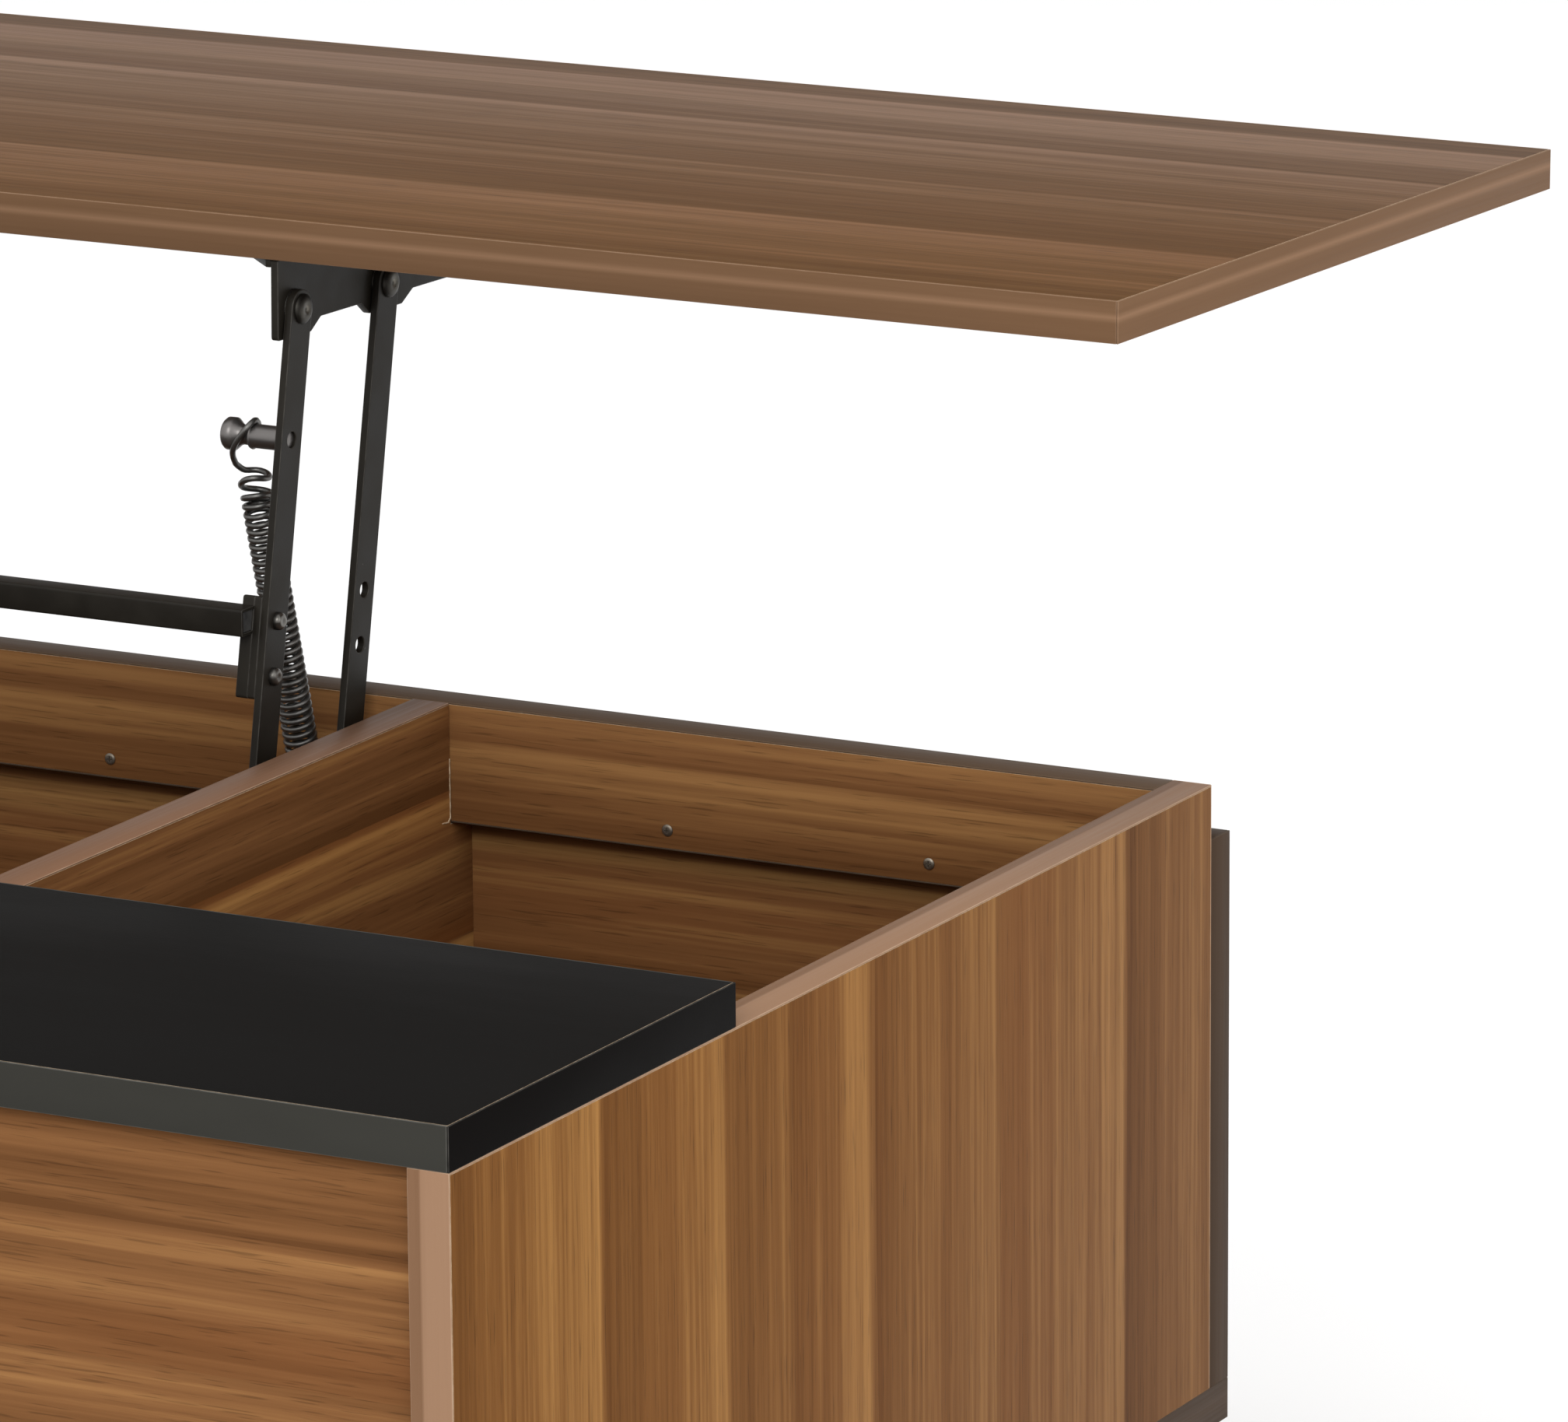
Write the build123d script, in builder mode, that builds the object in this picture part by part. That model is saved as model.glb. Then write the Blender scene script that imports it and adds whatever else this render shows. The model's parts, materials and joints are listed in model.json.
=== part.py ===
"""Lift top coffee table.

A board carcass with three storage bays stands on four steel legs. A fixed top covers the back of the
carcass. A lift top covers the rest, and rises forward and up on two pairs of flat bar arms that a cross bar
joins. Two extension springs help to lift it. The table is drawn with the lift top raised.

Frame, in millimetres: +X along the length, +Y to the front (where people sit), +Z up. The origin is on the
floor, under the middle of the box round the raised table.
"""

import os
from math import asin, atan2, cos, degrees, hypot, radians, sin, sqrt

from build123d import *

os.makedirs("parts", exist_ok=True)

# ---- Driving dimensions ----
board = 15.0  # thickness of every board
length = 1100.0
side_depth = 535.0  # back to front
side_height = 222.0
leg_height = 168.0  # floor to the underside of the bottom board
bay_width = 285.0  # inside width of the left and right bays
fixed_top_depth = 184.0
lift_top_depth = 364.0
back_recess = 4.0  # how far the back panel sits in from the carcass's back edge
rail_height = 45.0
front_panel_drop = 20.0  # the front panel's top edge below the rim

# Lift mechanism, seen from the side
arm_length = 236.5  # between pivots
arm_lean = 11.0  # degrees past upright, towards the front, with the top raised
arm_width = 14.0
arm_steel = 3.0
sheet = 3.0  # steel of the brackets
rear_pivot_from_back = 426.5
rear_pivot_below_rim = 80.0
pivot_spacing = 61.5  # between the rear and front pivots on the top bracket
lift_tilt = 1.4  # degrees that the raised top slopes down to the front
lid_pivot_inset = 12.0  # top pivot in from the lift top's back edge
lid_pivot_drop = 19.0  # top pivot below the lift top's underside
closed_gap = 0.3  # air under the closed lift top

# Lift mechanism, across the width: distance from the table's middle
bracket_inner = 220.5
arm_outer, arm_inner = 220.0, 217.0
top_bracket_outer = 216.5
angle_width = 25.0
spring_x = 201.3

# Pins and holes
pin_radius = 3.0
running_gap = 0.05
loose_gap = 0.6  # at the pivot where the closed linkage is opened
spring_radius = 6.4
wire_radius = 0.9
stud_from_base_pivot = 189.5
anchor_from_back = 507.7
anchor_below_rim = 58.0

# ---- Worked out from the driving dimensions ----
tilt_sin, tilt_cos = sin(radians(lift_tilt)), cos(radians(lift_tilt))
lean = radians(arm_lean)
overall_depth = (
    rear_pivot_from_back
    + arm_length * sin(lean)
    + (lift_top_depth - lid_pivot_inset) * tilt_cos
    + (lid_pivot_drop + board) * tilt_sin
)
back = -overall_depth / 2  # the carcass's back edge
carcass_floor = leg_height + board
rim = carcass_floor + side_height
half = length / 2
side_front = back + side_depth
back_inner = back + back_recess + board
rail_inner = side_front - board
divider_face = half - board - bay_width - board  # the face that looks at the middle bay

# Pivots, as (Y, Z)
rear_base = (back + rear_pivot_from_back, rim - rear_pivot_below_rim)
rear_top = (rear_base[0] + arm_length * sin(lean), rear_base[1] + arm_length * cos(lean))
front_top = (rear_top[0] + pivot_spacing * tilt_cos, rear_top[1] - pivot_spacing * tilt_sin)
closed_pivot_z = rim + closed_gap - lid_pivot_drop
closed_rise = closed_pivot_z - rear_base[1]
rear_top_closed = (rear_base[0] - sqrt(arm_length**2 - closed_rise**2), closed_pivot_z)
front_top_closed = (rear_top_closed[0] + pivot_spacing, closed_pivot_z)
anchor = (back + anchor_from_back, rim - anchor_below_rim)
stud = (
    rear_base[0] + stud_from_base_pivot * sin(lean),
    rear_base[1] + stud_from_base_pivot * cos(lean),
)


def equal_arm_pivot(raised, closed, radius):
    """The lower pivot of an arm of that length whose top goes from raised to closed."""
    dy, dz = closed[0] - raised[0], closed[1] - raised[1]
    chord = hypot(dy, dz)
    height = sqrt(radius**2 - (chord / 2) ** 2)
    return (
        (raised[0] + closed[0]) / 2 - dz / chord * height,
        (raised[1] + closed[1]) / 2 + dy / chord * height,
    )


def bearing(start, end):
    """Angle of the line from start to end in degrees, from +Y towards +Z."""
    return degrees(atan2(end[1] - start[1], end[0] - start[0]))


front_base = equal_arm_pivot(front_top, front_top_closed, arm_length)
front_lean = radians(90 - bearing(front_base, front_top))
swing = 180 - degrees(asin(closed_rise / arm_length)) - (90 - arm_lean)
front_swing = bearing(front_base, front_top_closed) - bearing(front_base, front_top)
closed_bearing = radians(90 - arm_lean + swing)
stud_closed = (
    rear_base[0] + stud_from_base_pivot * cos(closed_bearing),
    rear_base[1] + stud_from_base_pivot * sin(closed_bearing),
)
spring_length = hypot(stud[0] - anchor[0], stud[1] - anchor[1])
spring_length_closed = hypot(stud_closed[0] - anchor[0], stud_closed[1] - anchor[1])
spring_swing = bearing(anchor, stud_closed) - bearing(anchor, stud)


# ---- Shared shapes ----
def finish(piece, name):
    """Labels a finished piece and writes its file."""
    piece.label = name
    export_step(piece, f"parts/{name}.step")


def across(side, near, far):
    """Upright side plane at the -X face of something that spans near to far from the middle."""
    return Plane.YZ.offset(min(side * near, side * far))


def raised(x):
    """Side plane that leans with the raised top: local X to the front, origin on the rear pivot."""
    return Plane(origin=(x, *rear_top), x_dir=(0, tilt_cos, -tilt_sin), z_dir=(1, 0, 0))


lid_plane = Plane(origin=(0, *rear_top), x_dir=(1, 0, 0), z_dir=(0, tilt_sin, tilt_cos))
lid_underside = lid_plane.offset(lid_pivot_drop)


# ---- Dowels and screws that hold the carcass ----
dowel_radius, dowel_length, dowel_in_top = 4.0, 30.0, 10.0
top_dowel_places = (
    [(s * (half - board / 2), back + y) for s in (1, -1) for y in (40, 144)]
    + [(s * (divider_face + board / 2), back + y) for s in (1, -1) for y in (60, 144)]
    + [(x, back + back_recess + board / 2) for x in (-390, -90, 90, 390)]
)
rail_dowel_heights = (rim - 12, rim - 33)
carcass_screw_radius, carcass_screw_length, carcass_head_radius = 2.5, 50.0, 5.0
carcass_screw_bite = carcass_screw_length - board
carcass_screw_places = [
    (s * x, back + y)
    for s in (1, -1)
    for x in (half - board / 2, divider_face + board / 2)
    for y in (60, 270, 480)
]
rail_screw_places = [s * x for s in (1, -1) for x in (104, 340, 446)]
rail_screw_height = rim - 37.5
rail_screw_radius, rail_screw_length, rail_head_radius = 1.5, 25.0, 2.2
base_screw_places = [(back + y, rim - z) for y in (408, 457) for z in (62, 94)]
bracket_screw_radius, bracket_screw_bite = 2.0, 12.0
rail_dowel_bite = 20.0  # into the rail's end; the rest is in the side panel
screw_head_height = 3.0
rail_head_height = 0.8
hole_gap = 0.02
bottom_up = (Align.CENTER, Align.CENTER, Align.MIN)
top_down = (Align.CENTER, Align.CENTER, Align.MAX)

# ---- Boards ----
with BuildPart() as bottom_board:
    with BuildSketch(Plane.XY.offset(leg_height)):
        with Locations((0, back + (side_depth + board) / 2)):
            Rectangle(length, side_depth + board)
    extrude(amount=board)
    with Locations(Plane.XY.offset(leg_height)):
        with Locations(*carcass_screw_places):
            Cylinder(carcass_screw_radius + hole_gap, board, align=bottom_up, mode=Mode.SUBTRACT)
            Cylinder(
                carcass_head_radius + hole_gap, screw_head_height, align=bottom_up, mode=Mode.SUBTRACT
            )
finish(bottom_board.part, "bottom_board")

for side, word in ((1, "right"), (-1, "left")):
    with BuildPart() as side_panel:
        with BuildSketch(Plane.XY.offset(carcass_floor)):
            with Locations((side * (half - board / 2), back + side_depth / 2)):
                Rectangle(board, side_depth)
        extrude(amount=side_height)
        with Locations(Plane.XY.offset(rim)):
            with Locations(*[p for p in top_dowel_places if p[0] * side > half - board]):
                Cylinder(dowel_radius + hole_gap, 2 * (dowel_length - dowel_in_top), mode=Mode.SUBTRACT)
        with Locations(Plane.XY.offset(carcass_floor)):
            with Locations(*[p for p in carcass_screw_places if p[0] * side > half - board]):
                Cylinder(
                    carcass_screw_radius + hole_gap, 2 * carcass_screw_bite, mode=Mode.SUBTRACT
                )
        with Locations(Plane.YZ.offset(side * (half - board))):
            with Locations(*[(side_front - board / 2, z) for z in rail_dowel_heights]):
                Cylinder(
                    dowel_radius + hole_gap, 2 * (dowel_length - rail_dowel_bite), mode=Mode.SUBTRACT
                )
    finish(side_panel.part, f"side_panel_{word}")

    with BuildPart() as divider:
        with BuildSketch(Plane.YZ.offset(side * (divider_face + board / 2))):
            with BuildLine():
                Polyline(
                    (back_inner, carcass_floor),
                    (side_front, carcass_floor),
                    (side_front, rim - rail_height),
                    (rail_inner, rim - rail_height),
                    (rail_inner, rim),
                    (back_inner, rim),
                    close=True,
                )
            make_face()
        extrude(amount=board / 2, both=True)
        with Locations(Plane.XY.offset(rim)):
            inside = [p for p in top_dowel_places if 0 < p[0] * side < half - board]
            with Locations(*[p for p in inside if p[1] > back_inner]):
                Cylinder(dowel_radius + hole_gap, 2 * (dowel_length - dowel_in_top), mode=Mode.SUBTRACT)
        with Locations(Plane.XY.offset(carcass_floor)):
            with Locations(*[p for p in carcass_screw_places if 0 < p[0] * side < half - board]):
                Cylinder(
                    carcass_screw_radius + hole_gap, 2 * carcass_screw_bite, mode=Mode.SUBTRACT
                )
        with Locations(across(side, divider_face, divider_face)):
            with Locations(*base_screw_places):
                Cylinder(bracket_screw_radius + hole_gap, 2 * bracket_screw_bite, mode=Mode.SUBTRACT)
    finish(divider.part, f"divider_{word}")

with BuildPart() as back_panel:
    with BuildSketch(Plane.XY.offset(carcass_floor)):
        with Locations((0, back + back_recess + board / 2)):
            Rectangle(length - 2 * board, board)
    extrude(amount=side_height)
    with Locations(Plane.XY.offset(rim)):
        with Locations(*[p for p in top_dowel_places if p[1] < back_inner]):
            Cylinder(dowel_radius + hole_gap, 2 * (dowel_length - dowel_in_top), mode=Mode.SUBTRACT)
finish(back_panel.part, "back_panel")

with BuildPart() as front_rail:
    with BuildSketch(Plane.XY.offset(rim - rail_height)):
        with Locations((0, side_front - board / 2)):
            Rectangle(length - 2 * board, board)
    extrude(amount=rail_height)
    for side in (1, -1):
        with Locations(Plane.YZ.offset(side * (half - board))):
            with Locations(*[(side_front - board / 2, z) for z in rail_dowel_heights]):
                Cylinder(dowel_radius + hole_gap, 2 * rail_dowel_bite, mode=Mode.SUBTRACT)
    with Locations(Plane.XZ.offset(-rail_inner)):
        with Locations(*[(x, rail_screw_height) for x in rail_screw_places]):
            Cylinder(rail_screw_radius + hole_gap, 2 * board, mode=Mode.SUBTRACT)
finish(front_rail.part, "front_rail")

with BuildPart() as front_panel:
    with BuildSketch(Plane.XY.offset(carcass_floor)):
        with Locations((0, side_front + board / 2)):
            Rectangle(length, board)
    extrude(amount=side_height - front_panel_drop)
    with Locations(Plane.XZ.offset(-side_front)):
        with Locations(*[(x, rail_screw_height) for x in rail_screw_places]):
            Cylinder(rail_screw_radius + hole_gap, 2 * (rail_screw_length - board), mode=Mode.SUBTRACT)
finish(front_panel.part, "front_panel")

with BuildPart() as fixed_top:
    with BuildSketch(Plane.XY.offset(rim)):
        with Locations((0, back + fixed_top_depth / 2)):
            Rectangle(length, fixed_top_depth)
    extrude(amount=board)
    with Locations(Plane.XY.offset(rim)):
        with Locations(*top_dowel_places):
            Cylinder(dowel_radius + hole_gap, 2 * dowel_in_top, mode=Mode.SUBTRACT)
finish(fixed_top.part, "fixed_top")

with BuildPart() as wood_dowels:
    with Locations(Plane.XY.offset(rim + dowel_in_top - dowel_length)):
        with Locations(*top_dowel_places):
            Cylinder(dowel_radius, dowel_length, align=bottom_up)
    for side in (1, -1):
        with Locations(Plane.YZ.offset(side * (half - board - rail_dowel_bite + dowel_length / 2))):
            with Locations(*[(side_front - board / 2, z) for z in rail_dowel_heights]):
                Cylinder(dowel_radius, dowel_length)
finish(wood_dowels.part, "wood_dowels")

with BuildPart() as carcass_screws:
    with Locations(Plane.XY.offset(leg_height)):
        with Locations(*carcass_screw_places):
            Cylinder(carcass_screw_radius, carcass_screw_length, align=bottom_up)
            Cylinder(carcass_head_radius, screw_head_height, align=bottom_up)
finish(carcass_screws.part, "carcass_screws")

with BuildPart() as rail_screws:
    with Locations(Plane.XZ.offset(-rail_inner)):
        with Locations(*[(x, rail_screw_height) for x in rail_screw_places]):
            Cylinder(rail_screw_radius, rail_screw_length, align=top_down)
            Cylinder(rail_head_radius, rail_head_height, align=bottom_up)
finish(rail_screws.part, "rail_screws")

# ---- Legs ----
leg_inset_x, leg_inset_y = 75.0, 65.0
leg_plate_size, leg_plate_steel = 80.0, 3.0
glide_height = 6.0
leg_top_size, leg_foot_size, leg_corner = 34.0, 22.0, 3.0
leg_screw_spacing, leg_screw_radius, leg_screw_head = 60.0, 2.2, 4.5
leg_places = [
    (sx * (half - leg_inset_x), y, word)
    for sx, hand in ((1, "right"), (-1, "left"))
    for y, word in (
        (back + leg_inset_y, f"back_{hand}"),
        (side_front + board - leg_inset_y, f"front_{hand}"),
    )
]
for x, y, word in leg_places:
    with BuildPart() as leg:
        with BuildSketch(Plane.XY.offset(glide_height)):
            with Locations((x, y)):
                RectangleRounded(leg_foot_size, leg_foot_size, leg_corner)
        with BuildSketch(Plane.XY.offset(leg_height - leg_plate_steel)):
            with Locations((x, y)):
                RectangleRounded(leg_top_size, leg_top_size, leg_corner)
        loft()
    finish(leg.part, f"leg_{word}")

with BuildPart() as leg_plates:
    with BuildSketch(Plane.XY.offset(leg_height - leg_plate_steel)):
        with Locations(*[(x, y) for x, y, word in leg_places]):
            RectangleRounded(leg_plate_size, leg_plate_size, 2 * leg_corner)
        with Locations(*[(x, y) for x, y, word in leg_places]):
            with GridLocations(leg_screw_spacing, leg_screw_spacing, 2, 2):
                Circle(leg_screw_radius + hole_gap, mode=Mode.SUBTRACT)
    extrude(amount=leg_plate_steel)
finish(leg_plates.part, "leg_plates")

with BuildPart() as leg_screws:
    for x, y, word in leg_places:
        with Locations((x, y, leg_height - leg_plate_steel)):
            with GridLocations(leg_screw_spacing, leg_screw_spacing, 2, 2):
                Cylinder(leg_screw_radius, leg_plate_steel, align=bottom_up)
                Cylinder(leg_screw_head, leg_screw_radius, align=top_down)
finish(leg_screws.part, "leg_screws")

for x, y, word in leg_places:
    with BuildPart() as glide:
        with BuildSketch():
            with Locations((x, y)):
                RectangleRounded(leg_foot_size - 1, leg_foot_size - 1, leg_corner)
        extrude(amount=glide_height)
        chamfer(glide.faces().sort_by(Axis.Z)[0].edges(), 1)
    finish(glide.part, f"glide_{word}")

# ---- Lift top ----
with BuildPart() as lift_top:
    with BuildSketch(lid_underside):
        with Locations((0, lift_top_depth / 2 - lid_pivot_inset)):
            Rectangle(length, lift_top_depth)
    extrude(amount=board)
finish(lift_top.part, "lift_top")

# ---- Lift mechanism ----
top_bracket_inner = top_bracket_outer - sheet
top_bracket_edge = top_bracket_outer - angle_width
top_bracket_back, top_bracket_front = -lid_pivot_inset + 1, 200.0
strip_bottom = lid_pivot_drop - angle_width
lug_bottom = -10.5  # below the top pivots, on the top bracket
top_screw_places = [(top_bracket_outer - 15, y) for y in (28, 82, 136, 188)]
screw_head_radius, low_head_height = 4.0, 2.0
driver_hole_radius = 5.5  # in the base bracket's inner wall, to reach its screws
rivet_tail_radius, rivet_tail = pin_radius + 1.5, 1.5
base_wall_outer = bracket_inner + sheet
base_bottom, base_top = rim - 105, rim - 47
base_back, base_front = back + 396, rail_inner - 1
bolt_reaches = (104.5, 124.5)  # from the arm's lower pivot
bolt_radius, bolt_head_radius, bolt_head = 2.2, 3.3, 2.6
nut_radius, nut_height = 4.4, 4.0
stud_radius, stud_groove_radius, stud_length = 4.5, 3.6, 24.0
anchor_radius = 4.0
anchor_y, anchor_z = anchor[0] - front_base[0], anchor[1] - front_base[1]
arm_to_anchor = anchor_y * cos(front_lean) - anchor_z * sin(front_lean)
stop_radius = arm_to_anchor - arm_width / 2 - 0.1  # collar on the anchor that the front arm leans on
rivet_head_radius, rivet_head = 5.5, 2.0
eye_half_width = 3.5  # room along the pin for a spring's eye
tube, tube_wall = 10.0, 1.2
tube_centre = (back + 440.5, rim + 43.5)


def along_arm(base, angle, reach):
    """Point on a raised arm's centre line, that far from its lower pivot."""
    return (base[0] + reach * sin(angle), base[1] + reach * cos(angle))


rear_bolt_places = [along_arm(rear_base, lean, reach) for reach in bolt_reaches]
front_hole_places = [along_arm(front_base, front_lean, reach) for reach in bolt_reaches]

for side, word in ((1, "right"), (-1, "left")):
    with BuildPart() as base_bracket:
        with BuildSketch(across(side, bracket_inner, base_wall_outer)):
            with Locations(((base_back + base_front) / 2, (base_bottom + base_top) / 2)):
                Rectangle(base_front - base_back, base_top - base_bottom)
            with Locations(rear_base, front_base, anchor):
                Circle(pin_radius + hole_gap, mode=Mode.SUBTRACT)
            with Locations(*base_screw_places):
                Circle(driver_hole_radius, mode=Mode.SUBTRACT)
        extrude(amount=sheet)
        with BuildSketch(across(side, divider_face - sheet, divider_face)):
            with Locations(((base_back + base_front) / 2, (base_bottom + base_top) / 2)):
                Rectangle(base_front - base_back, base_top - base_bottom)
            with Locations(*base_screw_places):
                Circle(bracket_screw_radius + hole_gap, mode=Mode.SUBTRACT)
        extrude(amount=sheet)
        with BuildSketch(Plane.XY.offset(base_bottom)):
            with Locations((side * (bracket_inner + divider_face) / 2, (base_back + base_front) / 2)):
                Rectangle(divider_face - bracket_inner, base_front - base_back)
        extrude(amount=sheet)
    finish(base_bracket.part, f"base_bracket_{word}")

    with BuildPart() as rear_arm:
        with BuildSketch(across(side, arm_inner, arm_outer)):
            with Locations(((rear_base[0] + rear_top[0]) / 2, (rear_base[1] + rear_top[1]) / 2)):
                SlotCenterToCenter(arm_length, arm_width, rotation=90 - arm_lean)
            with Locations(rear_base, rear_top):
                Circle(pin_radius + running_gap, mode=Mode.SUBTRACT)
            with Locations(*rear_bolt_places):
                Circle(bolt_radius + hole_gap, mode=Mode.SUBTRACT)
            with Locations(stud):
                Circle(pin_radius + hole_gap, mode=Mode.SUBTRACT)
        extrude(amount=arm_steel)
    finish(rear_arm.part, f"rear_arm_{word}")

    with BuildPart() as front_arm:
        with BuildSketch(across(side, arm_inner, arm_outer)):
            with Locations(((front_base[0] + front_top[0]) / 2, (front_base[1] + front_top[1]) / 2)):
                SlotCenterToCenter(arm_length, arm_width, rotation=bearing(front_base, front_top))
            with Locations(front_base):
                Circle(pin_radius + running_gap, mode=Mode.SUBTRACT)
            with Locations(front_top):
                Circle(pin_radius + loose_gap, mode=Mode.SUBTRACT)
            with Locations(*front_hole_places):
                Circle(pin_radius, mode=Mode.SUBTRACT)
        extrude(amount=arm_steel)
    finish(front_arm.part, f"front_arm_{word}")

    with BuildPart() as top_bracket:
        with BuildSketch(raised(min(side * top_bracket_inner, side * top_bracket_outer))):
            with BuildLine():
                Polyline(
                    (top_bracket_back, lid_pivot_drop),
                    (top_bracket_back, lug_bottom + 1),
                    (top_bracket_back + 1, lug_bottom),
                    (12, lug_bottom),
                    (19, strip_bottom),
                    (pivot_spacing - 14, strip_bottom),
                    (pivot_spacing - 8, lug_bottom),
                    (pivot_spacing + 15, lug_bottom),
                    (pivot_spacing + 23, strip_bottom),
                    (top_bracket_front - 30, strip_bottom),
                    (top_bracket_front, 8),
                    (top_bracket_front, lid_pivot_drop),
                    close=True,
                )
            make_face()
            with Locations((0, 0), (pivot_spacing, 0)):
                Circle(pin_radius + hole_gap, mode=Mode.SUBTRACT)
        extrude(amount=sheet)
        with BuildSketch(lid_plane.offset(lid_pivot_drop - sheet)):
            with BuildLine():
                Polyline(
                    (side * top_bracket_outer, top_bracket_back),
                    (side * (top_bracket_inner - 2), top_bracket_back),
                    (side * top_bracket_edge, top_bracket_back + 20),
                    (side * top_bracket_edge, top_bracket_front),
                    (side * top_bracket_outer, top_bracket_front),
                    close=True,
                )
            make_face()
            with Locations(*[(side * x, y) for x, y in top_screw_places]):
                Circle(bracket_screw_radius + hole_gap, mode=Mode.SUBTRACT)
        extrude(amount=sheet)
    finish(top_bracket.part, f"top_bracket_{word}")

# The cross bar is one welding: a square tube with an angle at each end that bolts to the rear arm.
end_plate_low, end_plate_high = 96.0, 133.0
end_plate_length = end_plate_high - end_plate_low
end_plate_middle = along_arm(rear_base, lean, (end_plate_low + end_plate_high) / 2)
flange_offset = (arm_width - sheet) / 2
end_flange_middle = (
    end_plate_middle[0] - cos(lean) * flange_offset,
    end_plate_middle[1] + sin(lean) * flange_offset,
)
end_flange_width = 8.0
with BuildPart() as cross_bar:
    with BuildSketch(Plane.YZ.offset(-(arm_inner - sheet))):
        with Locations(tube_centre):
            Rectangle(tube, tube)
            Rectangle(tube - 2 * tube_wall, tube - 2 * tube_wall, mode=Mode.SUBTRACT)
    extrude(amount=2 * (arm_inner - sheet))
    for side in (1, -1):
        with BuildSketch(across(side, arm_inner - sheet, arm_inner)):
            with Locations(end_plate_middle):
                Rectangle(end_plate_length, arm_width, rotation=90 - arm_lean)
            with Locations(tube_centre):
                Rectangle(tube, tube)
            with Locations(*rear_bolt_places):
                Circle(bolt_radius + hole_gap, mode=Mode.SUBTRACT)
        extrude(amount=sheet)
        with BuildSketch(across(side, arm_inner - end_flange_width, arm_inner)):
            with Locations(end_flange_middle):
                Rectangle(end_plate_length, sheet, rotation=90 - arm_lean)
        extrude(amount=end_flange_width)
finish(cross_bar.part, "cross_bar")

with BuildPart() as cross_bar_bolts:
    bolt_end, bolt_top = arm_inner - sheet - nut_height, arm_outer + bolt_head
    for side in (1, -1):
        with BuildSketch(across(side, bolt_end, bolt_top)):
            with Locations(*rear_bolt_places):
                Circle(bolt_radius)
        extrude(amount=bolt_top - bolt_end)
        with BuildSketch(across(side, arm_outer, bolt_top)):
            with Locations(*rear_bolt_places):
                Circle(bolt_head_radius)
        extrude(amount=bolt_head)
        with BuildSketch(across(side, bolt_end, arm_inner - sheet)):
            with Locations(*rear_bolt_places):
                RegularPolygon(nut_radius, 6, rotation=12)
        extrude(amount=nut_height)
finish(cross_bar_bolts.part, "cross_bar_bolts")

with BuildPart() as spring_studs:
    for side in (1, -1):
        for near, far, radius in (
            (arm_inner, arm_outer, pin_radius),
            (spring_x + eye_half_width, arm_inner, stud_radius),
            (spring_x - eye_half_width, spring_x + eye_half_width, stud_groove_radius),
            (arm_inner - stud_length, spring_x - eye_half_width, stud_radius + 1.5),
        ):
            with BuildSketch(across(side, near, far)):
                with Locations(stud):
                    Circle(radius)
            extrude(amount=far - near)
finish(spring_studs.part, "spring_studs")

with BuildPart() as spring_anchors:
    for side in (1, -1):
        for near, far, radius in (
            (bracket_inner, base_wall_outer, pin_radius),
            (arm_inner, bracket_inner, stop_radius),
            (spring_x + eye_half_width, arm_inner, anchor_radius),
            (spring_x - eye_half_width, spring_x + eye_half_width, stud_groove_radius),
            (spring_x - 2 * eye_half_width, spring_x - eye_half_width, anchor_radius + 1.5),
        ):
            with BuildSketch(across(side, near, far)):
                with Locations(anchor):
                    Circle(radius)
            extrude(amount=far - near)
finish(spring_anchors.part, "spring_anchors")

with BuildPart() as base_pivots:
    for side in (1, -1):
        for near, far, radius in (
            (arm_inner - rivet_head - running_gap, arm_inner - running_gap, rivet_head_radius),
            (arm_inner - rivet_head, base_wall_outer, pin_radius),
            (base_wall_outer, base_wall_outer + rivet_tail, rivet_tail_radius),
        ):
            with BuildSketch(across(side, near, far)):
                with Locations(rear_base, front_base):
                    Circle(radius)
            extrude(amount=far - near)
finish(base_pivots.part, "base_pivots")

with BuildPart() as top_pivots:
    for side in (1, -1):
        for near, far, radius in (
            (top_bracket_inner - rivet_tail, top_bracket_inner, rivet_tail_radius),
            (top_bracket_inner, arm_outer + rivet_head, pin_radius),
            (arm_outer + running_gap, arm_outer + running_gap + rivet_head, rivet_head_radius),
        ):
            with BuildSketch(across(side, near, far)):
                with Locations(rear_top, front_top):
                    Circle(radius)
            extrude(amount=far - near)
finish(top_pivots.part, "top_pivots")

washer_steel, washer_radius = 0.4, 7.0
with BuildPart() as base_washers:
    for side in (1, -1):
        with BuildSketch(across(side, bracket_inner - washer_steel, bracket_inner)):
            with Locations(rear_base, front_base):
                Circle(washer_radius)
                Circle(pin_radius + hole_gap, mode=Mode.SUBTRACT)
        extrude(amount=washer_steel)
finish(base_washers.part, "base_washers")

with BuildPart() as top_washers:
    for side in (1, -1):
        with BuildSketch(across(side, top_bracket_outer, top_bracket_outer + washer_steel)):
            with Locations(rear_top, front_top):
                Circle(washer_radius)
                Circle(pin_radius + hole_gap, mode=Mode.SUBTRACT)
        extrude(amount=washer_steel)
finish(top_washers.part, "top_washers")

with BuildPart() as base_bracket_screws:
    for side in (1, -1):
        for near, far, radius in (
            (divider_face - sheet - low_head_height, divider_face - sheet, screw_head_radius),
            (divider_face - sheet, divider_face + bracket_screw_bite, bracket_screw_radius),
        ):
            with BuildSketch(across(side, near, far)):
                with Locations(*base_screw_places):
                    Circle(radius)
            extrude(amount=far - near)
finish(base_bracket_screws.part, "base_bracket_screws")

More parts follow.
